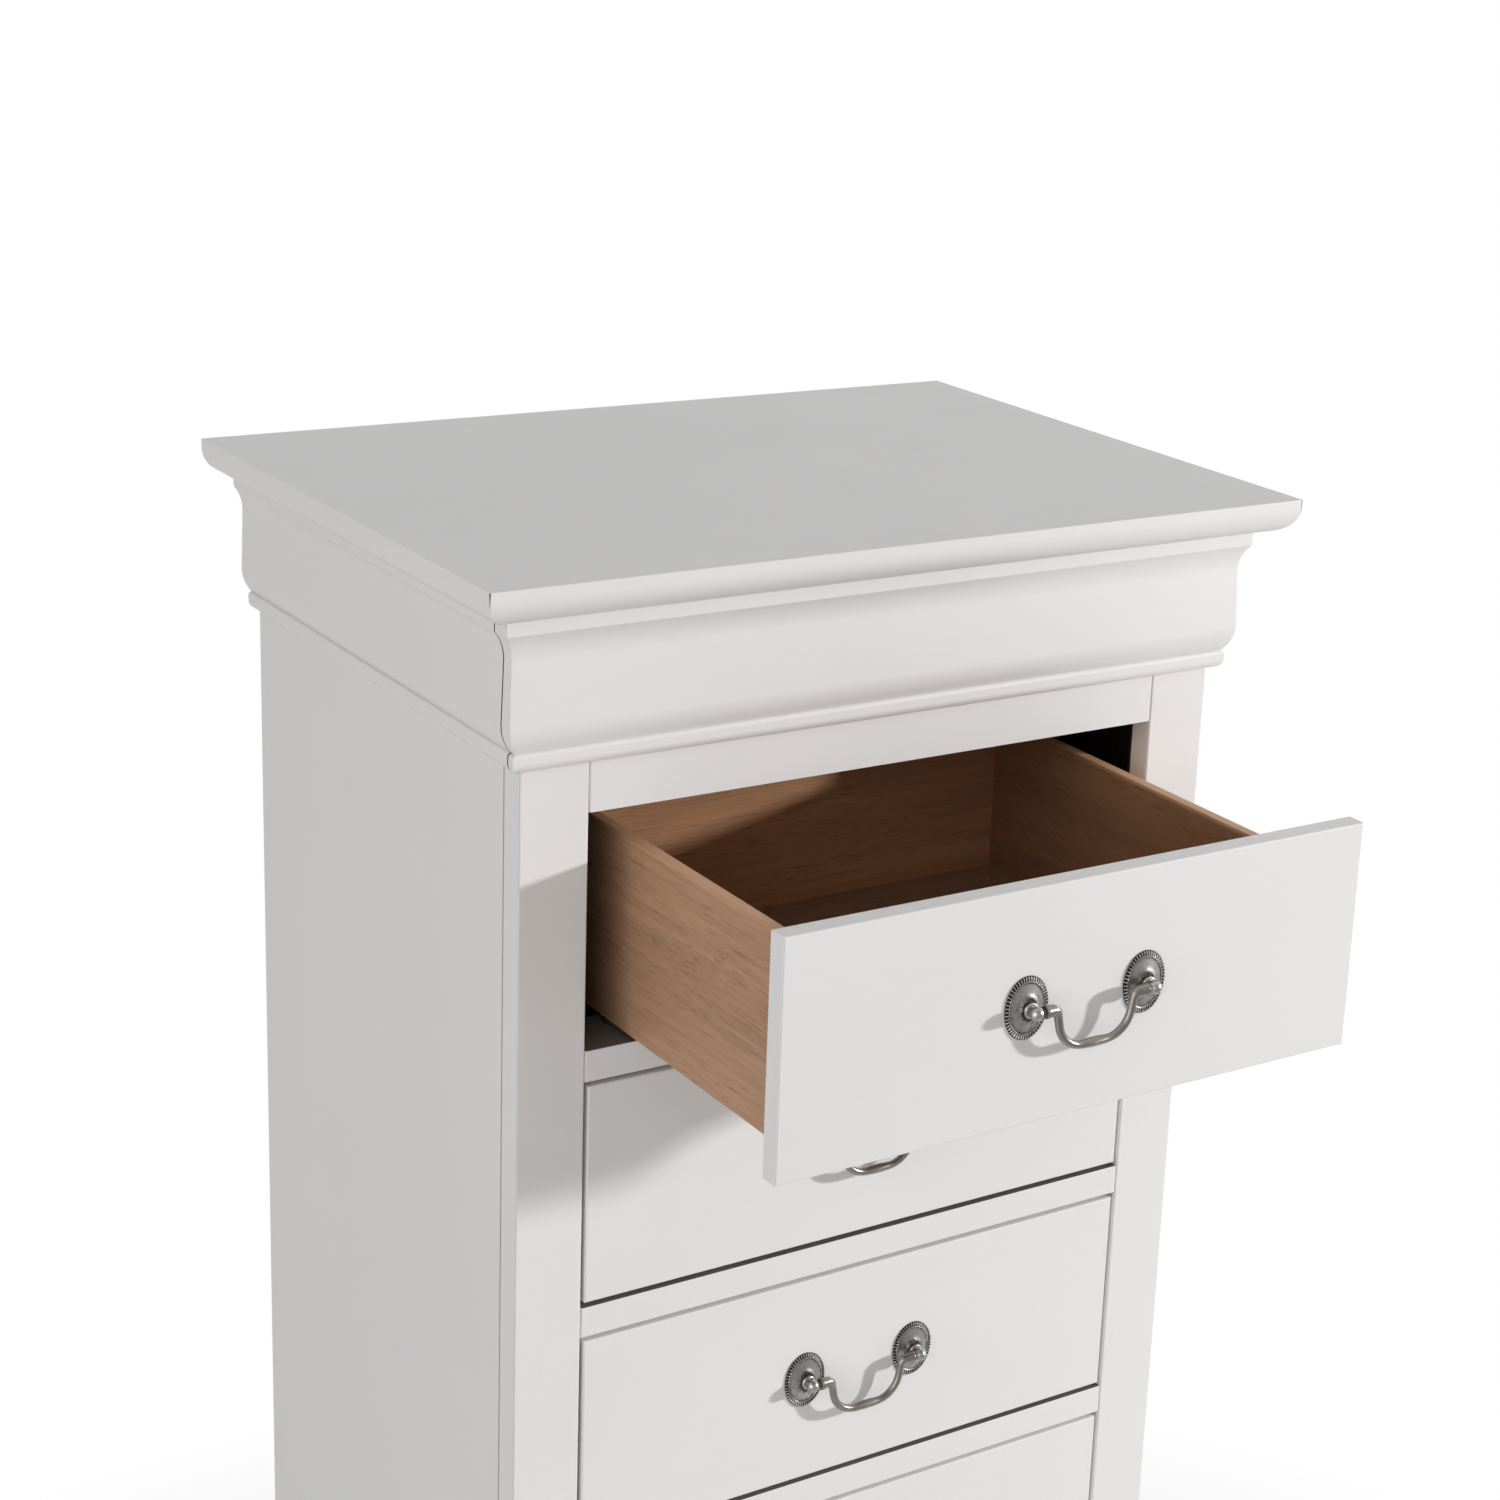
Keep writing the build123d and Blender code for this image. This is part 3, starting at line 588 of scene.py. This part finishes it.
def new_object(name, content):
    """Put a mesh, a light or a camera in the scene, at the origin."""
    made = bpy.data.objects.new(name, content)
    bpy.context.scene.collection.objects.link(made)
    return made


def add_piece(name, mesh, body, material, replaced=()):
    """Put a finished mesh in the scene as a piece that moves with a body."""
    piece = new_object(name, mesh)
    mesh.materials.append(material)
    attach(piece, body)
    if replaced:
        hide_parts(*replaced)


def to_mesh(bm, name):
    """Close seams, turn faces outwards, mark the sharp edges and store the mesh."""
    bmesh.ops.remove_doubles(bm, verts=bm.verts, dist=SEAM)
    bmesh.ops.recalc_face_normals(bm, faces=bm.faces)
    for face in bm.faces:
        face.smooth = True
    for edge in bm.edges:
        if len(edge.link_faces) == 2 and edge.calc_face_angle() > SHARP_ANGLE:
            edge.smooth = False
    mesh = bpy.data.meshes.new(name)
    bm.to_mesh(mesh)
    bm.free()
    return mesh


def moved_copy(template, place):
    """A copy of a mesh, moved to a place."""
    mesh = template.copy()
    mesh.transform(Matrix.Translation(place))
    return mesh


def patina_layer(bm):
    """The layer that says how dark the metal is at each vertex."""
    return bm.verts.layers.float.get("patina") or bm.verts.layers.float.new("patina")


def lathe(bm, outline, centre, axis, side, steps):
    """Turn an outline about an axis. Its points are (radius, height along the axis, patina)."""
    layer = patina_layer(bm)
    verts = []
    for radius, height, age in outline:
        vert = bm.verts.new(centre + axis * height + side * radius)
        vert[layer] = age
        verts.append(vert)
    edges = [bm.edges.new(pair) for pair in zip(verts, verts[1:])]
    bmesh.ops.spin(bm, geom=verts + edges, cent=centre, axis=axis, angle=FULL_TURN, steps=steps,
                   use_merge=True, use_duplicate=False)


def arc(centre_radius, centre_height, radius, start, end, steps, age=0.0):
    """Points of an outline on an arc, from one angle to another, in degrees from the radial line."""
    points = []
    for step in range(steps + 1):
        angle = math.radians(start + (end - start) * step / steps)
        out = centre_radius + radius * math.cos(angle)
        up = centre_height + radius * math.sin(angle)
        points.append((out, up, age))
    return points


def mirror(bm, merge_dist=-1):
    """Add the mirror image of everything on the other side of X, merged there with a merge_dist over 0."""
    geom = bm.verts[:] + bm.edges[:] + bm.faces[:]
    bmesh.ops.mirror(bm, geom=geom, axis="X", merge_dist=merge_dist)


def pull_places():
    """Each drawer with the point on its face midway between its posts."""
    p = bpy.context.scene.chest_pull
    for drawer in DRAWERS:
        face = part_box(f"{drawer}_front")[0].y
        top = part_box(f"{drawer}_bail")[1].z
        yield drawer, Vector((0, face, top - p.ferrule_radius))


def plate_outline(p):
    """Outline of a pull plate: flat back, flank, rounded rim bed, thin bright bead, a field that rises
    slowly and then steeply, and the crown."""
    inner = p.plate_half_width - p.rim_width
    points = [(0, 0, DULL), (p.plate_half_width * 0.985, 0, DULL),
              (p.plate_half_width * 0.99, p.rim_height * 0.2, 0.9)]
    bed_middle = inner + p.rim_width * 0.56
    bed_half_width = p.rim_width * 0.42
    bed_height = p.rim_height * 0.5
    bed_steps = 8
    for step in range(bed_steps + 1):
        angle = math.pi * (0.06 + 0.88 * step / bed_steps)
        out = bed_middle + bed_half_width * math.cos(angle)
        points.append((out, bed_height * math.sin(angle), DARKEST))
    bead = p.rim_width * 0.12
    bead_height = p.field_height * 0.75
    points += arc(inner + bead * 0.8, bead_height, bead, 30, 160, 4, 0.3)
    points += [(inner - bead * 0.5, p.field_height * 0.72, DARK), (inner - bead * 1.8, bead_height, DULL)]
    field_edge = inner - 2.8 * bead
    field_steps = 12
    for step in range(field_steps + 1):
        share = step / field_steps
        radius = field_edge * (1 - share) + p.crown_radius * share
        rise = 0.5 * share + 0.5 * share**7
        height = p.field_height * 0.78 * (1 - rise) + p.crown_height * rise
        points.append((radius, height, 0.42 - 0.12 * math.sin(math.pi * share) + 0.4 * share**3))
    points += [(p.neck_radius, p.crown_height, DARK), (0, p.crown_height, DARK)]
    return points


def milled_rim(bm, centre, p):
    """A ring of rounded radial bars that stand over a plate's rim, with dark gaps between them."""
    layer = patina_layer(bm)
    length = p.rim_width * 1.02
    height = p.rim_height * 1.7
    radius = p.plate_half_width - length / 2
    width = BAR_SHARE * FULL_TURN * radius / p.teeth
    made = bmesh.ops.create_uvsphere(bm, u_segments=8, v_segments=7, radius=0.5)["verts"]
    bmesh.ops.rotate(bm, cent=(0, 0, 0), matrix=Matrix.Rotation(math.pi / 2, 3, "Y"), verts=made)
    bmesh.ops.scale(bm, vec=(length, height, width), verts=made)
    for vert in made:
        rise = -vert.co.y / (height / 2)
        flank = abs(vert.co.z) / (width / 2)
        vert[layer] = max(0.0, min(DARKEST, 0.55 - 0.8 * rise + 0.6 * flank))
    bmesh.ops.translate(bm, vec=centre + RIGHT * radius + OUT * (p.rim_height - height / 2), verts=made)
    faces = list({face for vert in made for face in vert.link_faces})
    bmesh.ops.spin(bm, geom=faces, cent=centre, axis=OUT, use_duplicate=True,
                   angle=FULL_TURN * (p.teeth - 1) / p.teeth, steps=p.teeth - 1)


def pull_plate_mesh(p):
    """Two oval plates with milled rims, one on each post."""
    bm = bmesh.new()
    centre = RIGHT * (p.spacing / 2)
    lathe(bm, plate_outline(p), centre, OUT, RIGHT, 96)
    milled_rim(bm, centre, p)
    oval = p.plate_half_height / p.plate_half_width
    bmesh.ops.scale(bm, vec=(1, 1, oval), verts=bm.verts)
    mirror(bm)
    return to_mesh(bm, "pull_plates")


def pull_post_mesh(p):
    """Two turned posts: collar, neck and a ball that is bored for the bail's pin."""
    bm = bmesh.new()
    centre = RIGHT * (p.spacing / 2)
    crown = p.crown_height
    end = crown + p.collar_height
    neck_end = p.reach - p.ball_radius / 2
    round_edge = p.collar_height * 0.36
    outline = [(0, 0, DULL), (p.neck_radius, 0, DULL), (p.neck_radius, crown, DARK),
               (p.collar_radius * 0.97, crown, DARK), (p.collar_radius, crown + round_edge * 0.4, 0.35)]
    outline += arc(p.collar_radius - round_edge, end - round_edge, round_edge, 0, 90, 5, 0.2)
    outline += [(p.neck_radius * 1.12, end, DULL), (p.neck_radius, end + round_edge * 0.3, 0.6),
                (p.neck_radius, neck_end, DULL), (0, neck_end, DULL)]
    lathe(bm, outline, centre, OUT, RIGHT, 48)
    bore = p.pin_radius * 1.05
    bore_end = -p.ball_radius * 0.1
    mouth = math.degrees(math.asin(bore / p.ball_radius))
    ball = [(0, bore_end, DARK), (bore, bore_end, DARK)]
    ball += arc(0, 0, p.ball_radius, 90 - mouth, -90, 18, 0.34)
    lathe(bm, ball, centre + OUT * p.reach, -RIGHT, UP, 48)
    mirror(bm)
    return to_mesh(bm, "pull_posts")


def bolt_mesh(p, thickness):
    """Two pan-headed bolts whose heads bear on the inside of the drawer front."""
    bm = bmesh.new()
    shank = p.pin_radius * 1.25
    head = 2.1 * shank
    rise = head * 0.6
    edge = rise * 0.62
    outline = [(0, 0, 0), (shank, 0, 0), (shank, thickness, 0), (head, thickness, 0),
               (head, thickness + rise * 0.35, 0)]
    outline += arc(head - edge, thickness + rise * 0.38, edge, 0, 90, 4)
    outline += [(0, thickness + rise, 0)]
    lathe(bm, outline, RIGHT * (p.spacing / 2), -OUT, RIGHT, 32)
    mirror(bm)
    return to_mesh(bm, "pull_bolts")


class Wire:
    """A round wire in the making, drawn on from ring to ring. Each ring has a place, a direction, a radius
    and a patina."""

    def __init__(self, bm, place, way, radius, age, sides):
        self.bm = bm
        self.layer = patina_layer(bm)
        self.place = place
        self.way = way
        self.radius = radius
        ring = bmesh.ops.create_circle(bm, cap_ends=True, segments=sides, radius=radius)["verts"]
        turn = UP.rotation_difference(way).to_matrix()
        bmesh.ops.rotate(bm, cent=(0, 0, 0), matrix=turn, verts=ring)
        bmesh.ops.translate(bm, vec=place, verts=ring)
        for vert in ring:
            vert[self.layer] = age
        self.edges = list({edge for vert in ring for edge in vert.link_edges})

    def draw(self, place, way, radius, age):
        """Draw the wire on to its next ring."""
        made = bmesh.ops.extrude_edge_only(self.bm, edges=self.edges)["geom"]
        self.edges = [item for item in made if isinstance(item, bmesh.types.BMEdge)]
        ring = [item for item in made if isinstance(item, bmesh.types.BMVert)]
        turn = self.way.rotation_difference(way).to_matrix()
        bmesh.ops.rotate(self.bm, cent=self.place, matrix=turn, verts=ring)
        growth = radius / self.radius
        centred = Matrix.Translation(-self.place)
        bmesh.ops.scale(self.bm, vec=(growth, growth, growth), space=centred, verts=ring)
        bmesh.ops.translate(self.bm, vec=place - self.place, verts=ring)
        for vert in ring:
            vert[self.layer] = age
        self.place, self.way, self.radius = place, way, radius

    def run(self, place, radius, age, steps):
        """Draw the wire straight on to a place while its radius changes evenly."""
        start, first = self.place, self.radius
        for step in range(1, steps + 1):
            share = step / steps
            self.draw(start.lerp(place, share), self.way, first + (radius - first) * share, age)

    def bend(self, corner, onward, bend_radius, radius, age, steps):
        """Draw the wire straight to a bend at a corner, and round it until it points onward."""
        way = self.way
        turn = way.angle(onward)
        inset = bend_radius * math.tan(turn / 2)
        self.run(corner - way * inset, self.radius, age, 3)
        axis = way.cross(onward).normalized()
        centre = self.place + axis.cross(way) * bend_radius
        start, first = self.place, self.radius
        for step in range(1, steps + 1):
            share = step / steps
            rotation = Matrix.Rotation(turn * share, 3, axis)
            place = centre + rotation @ (start - centre)
            self.draw(place, rotation @ way, first + (radius - first) * share, age)


def bail_mesh(p):
    """The swinging bail: pins, flared ends, elbows, tapering legs and a swelled grip with a soft ridge."""
    bm = bmesh.new()
    face = p.spacing / 2 - p.ball_radius - p.ferrule_gap
    tip = face + p.pin_length
    lip = p.ferrule_radius * 0.15
    wire = Wire(bm, RIGHT * tip, -RIGHT, p.pin_radius * 0.8, DULL, 24)
    wire.run(RIGHT * (tip - 0.2 * p.pin_radius), p.pin_radius, DULL, 1)
    wire.run(RIGHT * (face + lip * 0.5), p.pin_radius, 0.9, 1)
    wire.run(RIGHT * face, p.ferrule_radius * 0.8, DARK, 1)
    for radius, place, age in arc(p.ferrule_radius - lip, face - lip, lip, 80, 0, 4):
        wire.draw(RIGHT * place, -RIGHT, radius, age)
    elbow = Vector((p.half_top, 0, 0))
    corner = Vector((p.half_foot, 0, -p.drop))
    leg = (corner - elbow).normalized()
    start = elbow + RIGHT * (p.elbow_radius * math.tan(leg.angle(-RIGHT) / 2))
    wire.run(start, p.ferrule_radius * p.neck_share, RUBBED, 5)
    wire.bend(elbow, leg, p.elbow_radius, p.leg_radius * 1.06, RUBBED, 10)
    wire.bend(corner, -RIGHT, p.corner_radius, p.leg_radius, HANDLED, 16)
    wire.run(Vector((0, 0, -p.drop)), p.leg_radius, HANDLED, 12)
    swell_grip(bm, p)
    mirror(bm, SEAM)
    bmesh.ops.translate(bm, vec=OUT * p.reach, verts=bm.verts)
    return to_mesh(bm, "bail")


def swell_grip(bm, p):
    """Swell the middle of the grip, and turn its round section into a soft diamond with a ridge in front."""
    for vert in bm.verts:
        share = abs(vert.co.x) / p.grip_half_length
        height = vert.co.z + p.drop
        if share >= 1 or height > 2 * p.leg_radius:
            continue
        amount = 0.5 + 0.5 * math.cos(math.pi * share)
        swell = 1 + (p.grip_radius / p.leg_radius - 1) * amount
        power = 2 - GRIP_RIDGE * amount
        reach = math.hypot(vert.co.y, height)
        total = (abs(vert.co.y) / reach) ** power + (abs(height) / reach) ** power
        swell *= total ** (-1 / power)
        vert.co.y *= swell
        vert.co.z = -p.drop + height * swell


def pin_mesh(name, places, normal, radius):
    """Small domed pin heads on a surface, one at each place."""
    bm = bmesh.new()
    side = UP if abs(normal.z) < 0.5 else RIGHT
    outline = [(0, -radius / 2, 0), (radius, -radius / 2, 0), (radius, 0, 0)]
    outline += arc(0, -radius * 0.35, radius * 1.05, 25, 90, 3)
    outline[-1] = (0, outline[-1][1], 0)
    for place in places:
        lathe(bm, outline, place, normal, side, 12)
    return to_mesh(bm, name)


# Operators

class CHEST_OT_paint_case(bpy.types.Operator):
    """Paint the case, the base and the drawer fronts, stain the inside of the case, and paint shade on the
    rail tops, the side cornices' front ends, the joint chamfers and the opened mitres
    """
    bl_idname = "chest.paint_case"
    bl_label = "Paint the case"

    def execute(self, context):
        settings = context.scene.chest_paint
        woods = context.scene.chest_wood
        low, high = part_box("stiles")
        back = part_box("side_panels")[1].y
        corner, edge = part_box("top_edge_mouldings")
        outer = ("X", high.x - PAINT_EDGE, -1)
        # Painted shade: the tops and backs of the rails take the dark grey of the deep shade there
        rails = {"turned": [BEHIND, ABOVE], "under": settings.painted_shade_grey}
        looks = {
            "top_panel": ("X", {}),
            # Painted shade: a dark line down the opened mitres at the front corners
            "top_edge_mouldings": ("X", {"mitre": (edge.x, corner.y, edge.z)}),
            "upper_rail": ("X", {"turned": [BEHIND]}),
            "drawer_rails": ("X", rails),
            "bottom_rail": ("X", rails),
            "hidden_drawer_moulding": ("X", {"turned": [BEHIND], "under": woods.drawer_wood}),
            "base_front": ("X", {"turned": [BEHIND], "under": woods.hidden_wood}),
            "base_sides": ("Y", {}),
            # Painted shade: the front ends take the same dark grey, for the shade in the gap behind the
            # moulding
            "side_cornices": ("Y", {"turned": [FORWARD], "under": settings.painted_shade_grey}),
            "stiles": ("Z", {"bare": (("Y", low.y + STILE_PAINT, 1), outer)}),
            # Painted shade: half the inside stain on the chamfer where the side panels meet the stiles
            "side_panels": ("Z", {"bare": (outer, ("Y", back - PAINT_EDGE, -1)), "turned": [JOINT_SHADE]}),
        }
        for node, (grain, extras) in looks.items():
            coat(node, paint(f"{node}_paint", grain, **extras))
            if not node.startswith("top_"):
                ease(node, settings.eased_edge)
        front = paint("drawer_front_paint", "X", turned=[BEHIND], under=woods.drawer_wood)
        for drawer in DRAWERS:
            coat(f"{drawer}_front", front)
        return {"FINISHED"}


class CHEST_OT_finish_drawer_boxes(bpy.types.Operator):
    """Finish the sides, backs and bottoms of the drawers in stained wood, with painted shade on the inner
    faces of the sides and backs
    """
    bl_idname = "chest.finish_drawer_boxes"
    bl_label = "Finish the drawer boxes"

    def execute(self, context):
        settings = context.scene.chest_wood
        sides = wood("drawer_side_wood", settings.drawer_wood, "Y", light_top=LIGHT_TOP, inner="X")
        backs = wood("drawer_back_wood", settings.drawer_wood, "X", light_top=LIGHT_TOP, inner="Y")
        bottoms = wood("drawer_bottom_wood", settings.bottom_wood, "X")
        for drawer in DRAWERS + ["hidden_drawer"]:
            coat(f"{drawer}_sides", sides)
            coat(f"{drawer}_back", backs)
            coat(f"{drawer}_bottom", bottoms)
            ease(f"{drawer}_sides", settings.eased_edge)
            ease(f"{drawer}_back", settings.eased_edge)
        coat("hidden_drawer_front", backs)
        return {"FINISHED"}


class CHEST_OT_finish_hidden_boards(bpy.types.Operator):
    """Finish the bare boards, runners, brackets, pads and screws that are mostly out of sight"""
    bl_idname = "chest.finish_hidden_boards"
    bl_label = "Finish the hidden boards"

    def execute(self, context):
        settings = context.scene.chest_wood
        grains = {"back_panel": "Z", "carcass_floor": "X", "base_back": "X", "corner_blocks": "Z",
                  "top_cleats": "X", "centre_runners": "Y"}
        boards = {grain: wood(f"hidden_wood_{grain.lower()}", settings.hidden_wood, grain, gloss=0.6)
                  for grain in "XYZ"}
        for node, grain in grains.items():
            coat(node, boards[grain])
        coat("runner_brackets", nylon("bone_nylon", BONE))
        coat("glide_pads", nylon("black_nylon", BLACK))
        coat("top_screws", zinc("screw_zinc"))
        return {"FINISHED"}


class CHEST_OT_make_pulls(bpy.types.Operator):
    """Make the plates, posts and bolts of the pulls"""
    bl_idname = "chest.make_pulls"
    bl_label = "Make plates, posts and bolts"

    def execute(self, context):
        p = context.scene.chest_pull
        low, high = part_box(f"{DRAWERS[0]}_front")
        metal = pewter("aged_pewter")
        parts = {
            "plates": (pull_plate_mesh(p), metal, "aged_pewter"),
            "posts": (pull_post_mesh(p), metal, "aged_pewter"),
            "bolts": (bolt_mesh(p, high.y - low.y), zinc("bolt_zinc"), "screw_steel"),
        }
        for drawer, place in pull_places():
            for part, (template, finish, slot) in parts.items():
                mesh = moved_copy(template, place)
                add_piece(f"{drawer}_pull_{part}", mesh, drawer, finish, [f"{drawer}_pull_mounts"])
        return {"FINISHED"}


class CHEST_OT_make_bails(bpy.types.Operator):
    """Make the swinging bails of the pulls"""
    bl_idname = "chest.make_bails"
    bl_label = "Make the bails"

    def execute(self, context):
        template = bail_mesh(context.scene.chest_pull)
        metal = bpy.data.materials["aged_pewter"]
        for drawer, place in pull_places():
            mesh = moved_copy(template, place)
            add_piece(f"{drawer}_handle", mesh, f"{drawer}_bail", metal, [f"{drawer}_bail"])
        return {"FINISHED"}


class CHEST_OT_drive_pins(bpy.types.Operator):
    """Drive the pins that hold the drawer bottoms and the back panel"""
    bl_idname = "chest.drive_pins"
    bl_label = "Drive the pins"

    def execute(self, context):
        p = context.scene.chest_pins
        metal = zinc("pin_zinc")
        for drawer in DRAWERS + ["hidden_drawer"]:
            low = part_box(f"{drawer}_back")[0]
            places = [Vector((x, low.y - p.bottom_inset, low.z))
                      for x in (-p.bottom_half_spacing, p.bottom_half_spacing)]
            mesh = pin_mesh(f"{drawer}_pins", places, UP, p.bottom_radius)
            add_piece(f"{drawer}_bottom_pins", mesh, drawer, metal)
        low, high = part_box("back_panel")
        places = []
        for step in range(p.back_rows):
            z = low.z + (high.z - low.z) * (step + 0.5) / p.back_rows
            places += [Vector((x, high.y, z)) for x in (low.x + p.back_inset, high.x - p.back_inset)]
        mesh = pin_mesh("back_pins", places, -OUT, p.back_radius)
        add_piece("back_panel_pins", mesh, "carcass", metal)
        return {"FINISHED"}


class CHEST_OT_set_stage(bpy.types.Operator):
    """Set the floor, the light, the white surroundings and the camera"""
    bl_idname = "chest.set_stage"
    bl_label = "Set the stage"

    def execute(self, context):
        settings = context.scene.chest_stage
        self.lay_floor(settings)
        self.light_world(settings)
        for side in ("key", "fill", "front"):
            self.hang_light(settings, side)
        self.place_camera(settings)
        context.scene.view_settings.view_transform = "Standard"
        return {"FINISHED"}

    def lay_floor(self, settings):
        """Lay the pale floor, which takes the chest's shadow."""
        bm = bmesh.new()
        bmesh.ops.create_grid(bm, x_segments=1, y_segments=1, size=FLOOR_REACH)
        floor = new_object("floor", to_mesh(bm, "floor"))
        floor.data.materials.append(self.floor_material(settings))

    def floor_material(self, settings):
        """Matt and pale near the chest, and plain white for the eye further off."""
        f = Finish("pale_floor")
        grain = f.noise(FLOOR_GRAIN, detail=2)
        distance = f.add("ShaderNodeVectorMath", f.place, operation="LENGTH")
        far = f.between(distance.outputs["Value"], *FLOOR_FADE)
        seen, strength = f.white_room(f.axis_of(f.place, "Y"), *FLOOR_FRONT, settings.dim_front)
        pale = f.mix(grain, grey(0.86), grey(0.88))
        f.set(Base_Color=f.mix(seen, grey(settings.floor_bounce), pale), Roughness=0.7)
        white = f.add("ShaderNodeEmission")
        f.fill(white, Strength=strength)
        f.show("Material Output", f.maths(far, seen, "MULTIPLY"), f.shader, white)
        return f.material

    def light_world(self, settings):
        """Light the chest evenly from all round, and show white to the eye, gloss and glass."""
        world = bpy.data.worlds.new("white_room")
        bpy.context.scene.world = world
        world.use_nodes = True
        work = NodeWork(world.node_tree)
        depth = work.axis_of(work.add("ShaderNodeTexCoord").outputs["Generated"], "Y")
        seen, strength = work.white_room(depth, *ROOM_FRONT, settings.dim_front)
        ambient = work.nodes["Background"]
        white = work.add("ShaderNodeBackground")
        for light, level in ((ambient, settings.ambient), (white, strength)):
            work.fill(light, Color=grey(1.0), Strength=level)
        work.show("World Output", seen, ambient, white)

    def hang_light(self, settings, side):
        """Hang the square light of one side so that it faces the chest."""
        place = Vector(getattr(settings, f"{side}_place"))
        lamp = bpy.data.lights.new(f"{side}_light", "AREA")
        lamp.size = getattr(settings, f"{side}_size")
        lamp.energy = getattr(settings, f"{side}_power")
        light = new_object(f"{side}_light", lamp)
        light.location = place
        light.rotation_euler = (Vector(settings.aim) - place).to_track_quat("-Z", "Y").to_euler()

    def place_camera(self, settings):
        """Place the camera and turn it by its yaw, pitch and roll."""
        lens = bpy.data.cameras.new("camera")
        lens.lens = settings.lens
        lens.shift_x, lens.shift_y = settings.shift
        camera = new_object("camera", lens)
        level = math.cos(settings.pitch)
        ahead = Vector((math.sin(settings.yaw) * level, math.cos(settings.yaw) * level,
                        math.sin(settings.pitch)))
        right = Matrix.Rotation(-settings.roll, 3, ahead) @ ahead.cross(UP).normalized()
        up = right.cross(ahead)
        axes = Matrix((right, up, -ahead)).transposed()
        camera.matrix_world = Matrix.Translation(settings.camera_place) @ axes.to_4x4()
        bpy.context.scene.camera = camera


OPERATORS = (
    CHEST_OT_paint_case, CHEST_OT_finish_drawer_boxes, CHEST_OT_finish_hidden_boards,
    CHEST_OT_make_pulls, CHEST_OT_make_bails, CHEST_OT_drive_pins, CHEST_OT_set_stage,
)


class CHEST_PT_sidebar(bpy.types.Panel):
    """Lists the steps that finish the chest"""
    bl_idname = "CHEST_PT_sidebar"
    bl_label = "Chest of drawers"
    bl_space_type = "VIEW_3D"
    bl_region_type = "UI"
    bl_category = "Chest"

    def draw(self, context):
        for operator in OPERATORS:
            self.layout.operator(operator.bl_idname)
        for name, group in SETTINGS.items():
            box = self.layout.box()
            for key in group.__annotations__:
                box.prop(getattr(context.scene, name), key)


def register():
    for name, group in SETTINGS.items():
        bpy.utils.register_class(group)
        setattr(bpy.types.Scene, name, PointerProperty(type=group))
    for cls in (*OPERATORS, CHEST_PT_sidebar):
        bpy.utils.register_class(cls)


def unregister():
    for cls in reversed((*OPERATORS, CHEST_PT_sidebar)):
        bpy.utils.unregister_class(cls)
    for name, group in SETTINGS.items():
        delattr(bpy.types.Scene, name)
        bpy.utils.unregister_class(group)


def main():
    register()
    bpy.ops.chest.paint_case()
    bpy.ops.chest.finish_drawer_boxes()
    bpy.ops.chest.finish_hidden_boards()
    bpy.ops.chest.make_pulls()
    bpy.ops.chest.make_bails()
    bpy.ops.chest.drive_pins()
    bpy.ops.chest.set_stage()


if __name__ == "__main__":
    main()
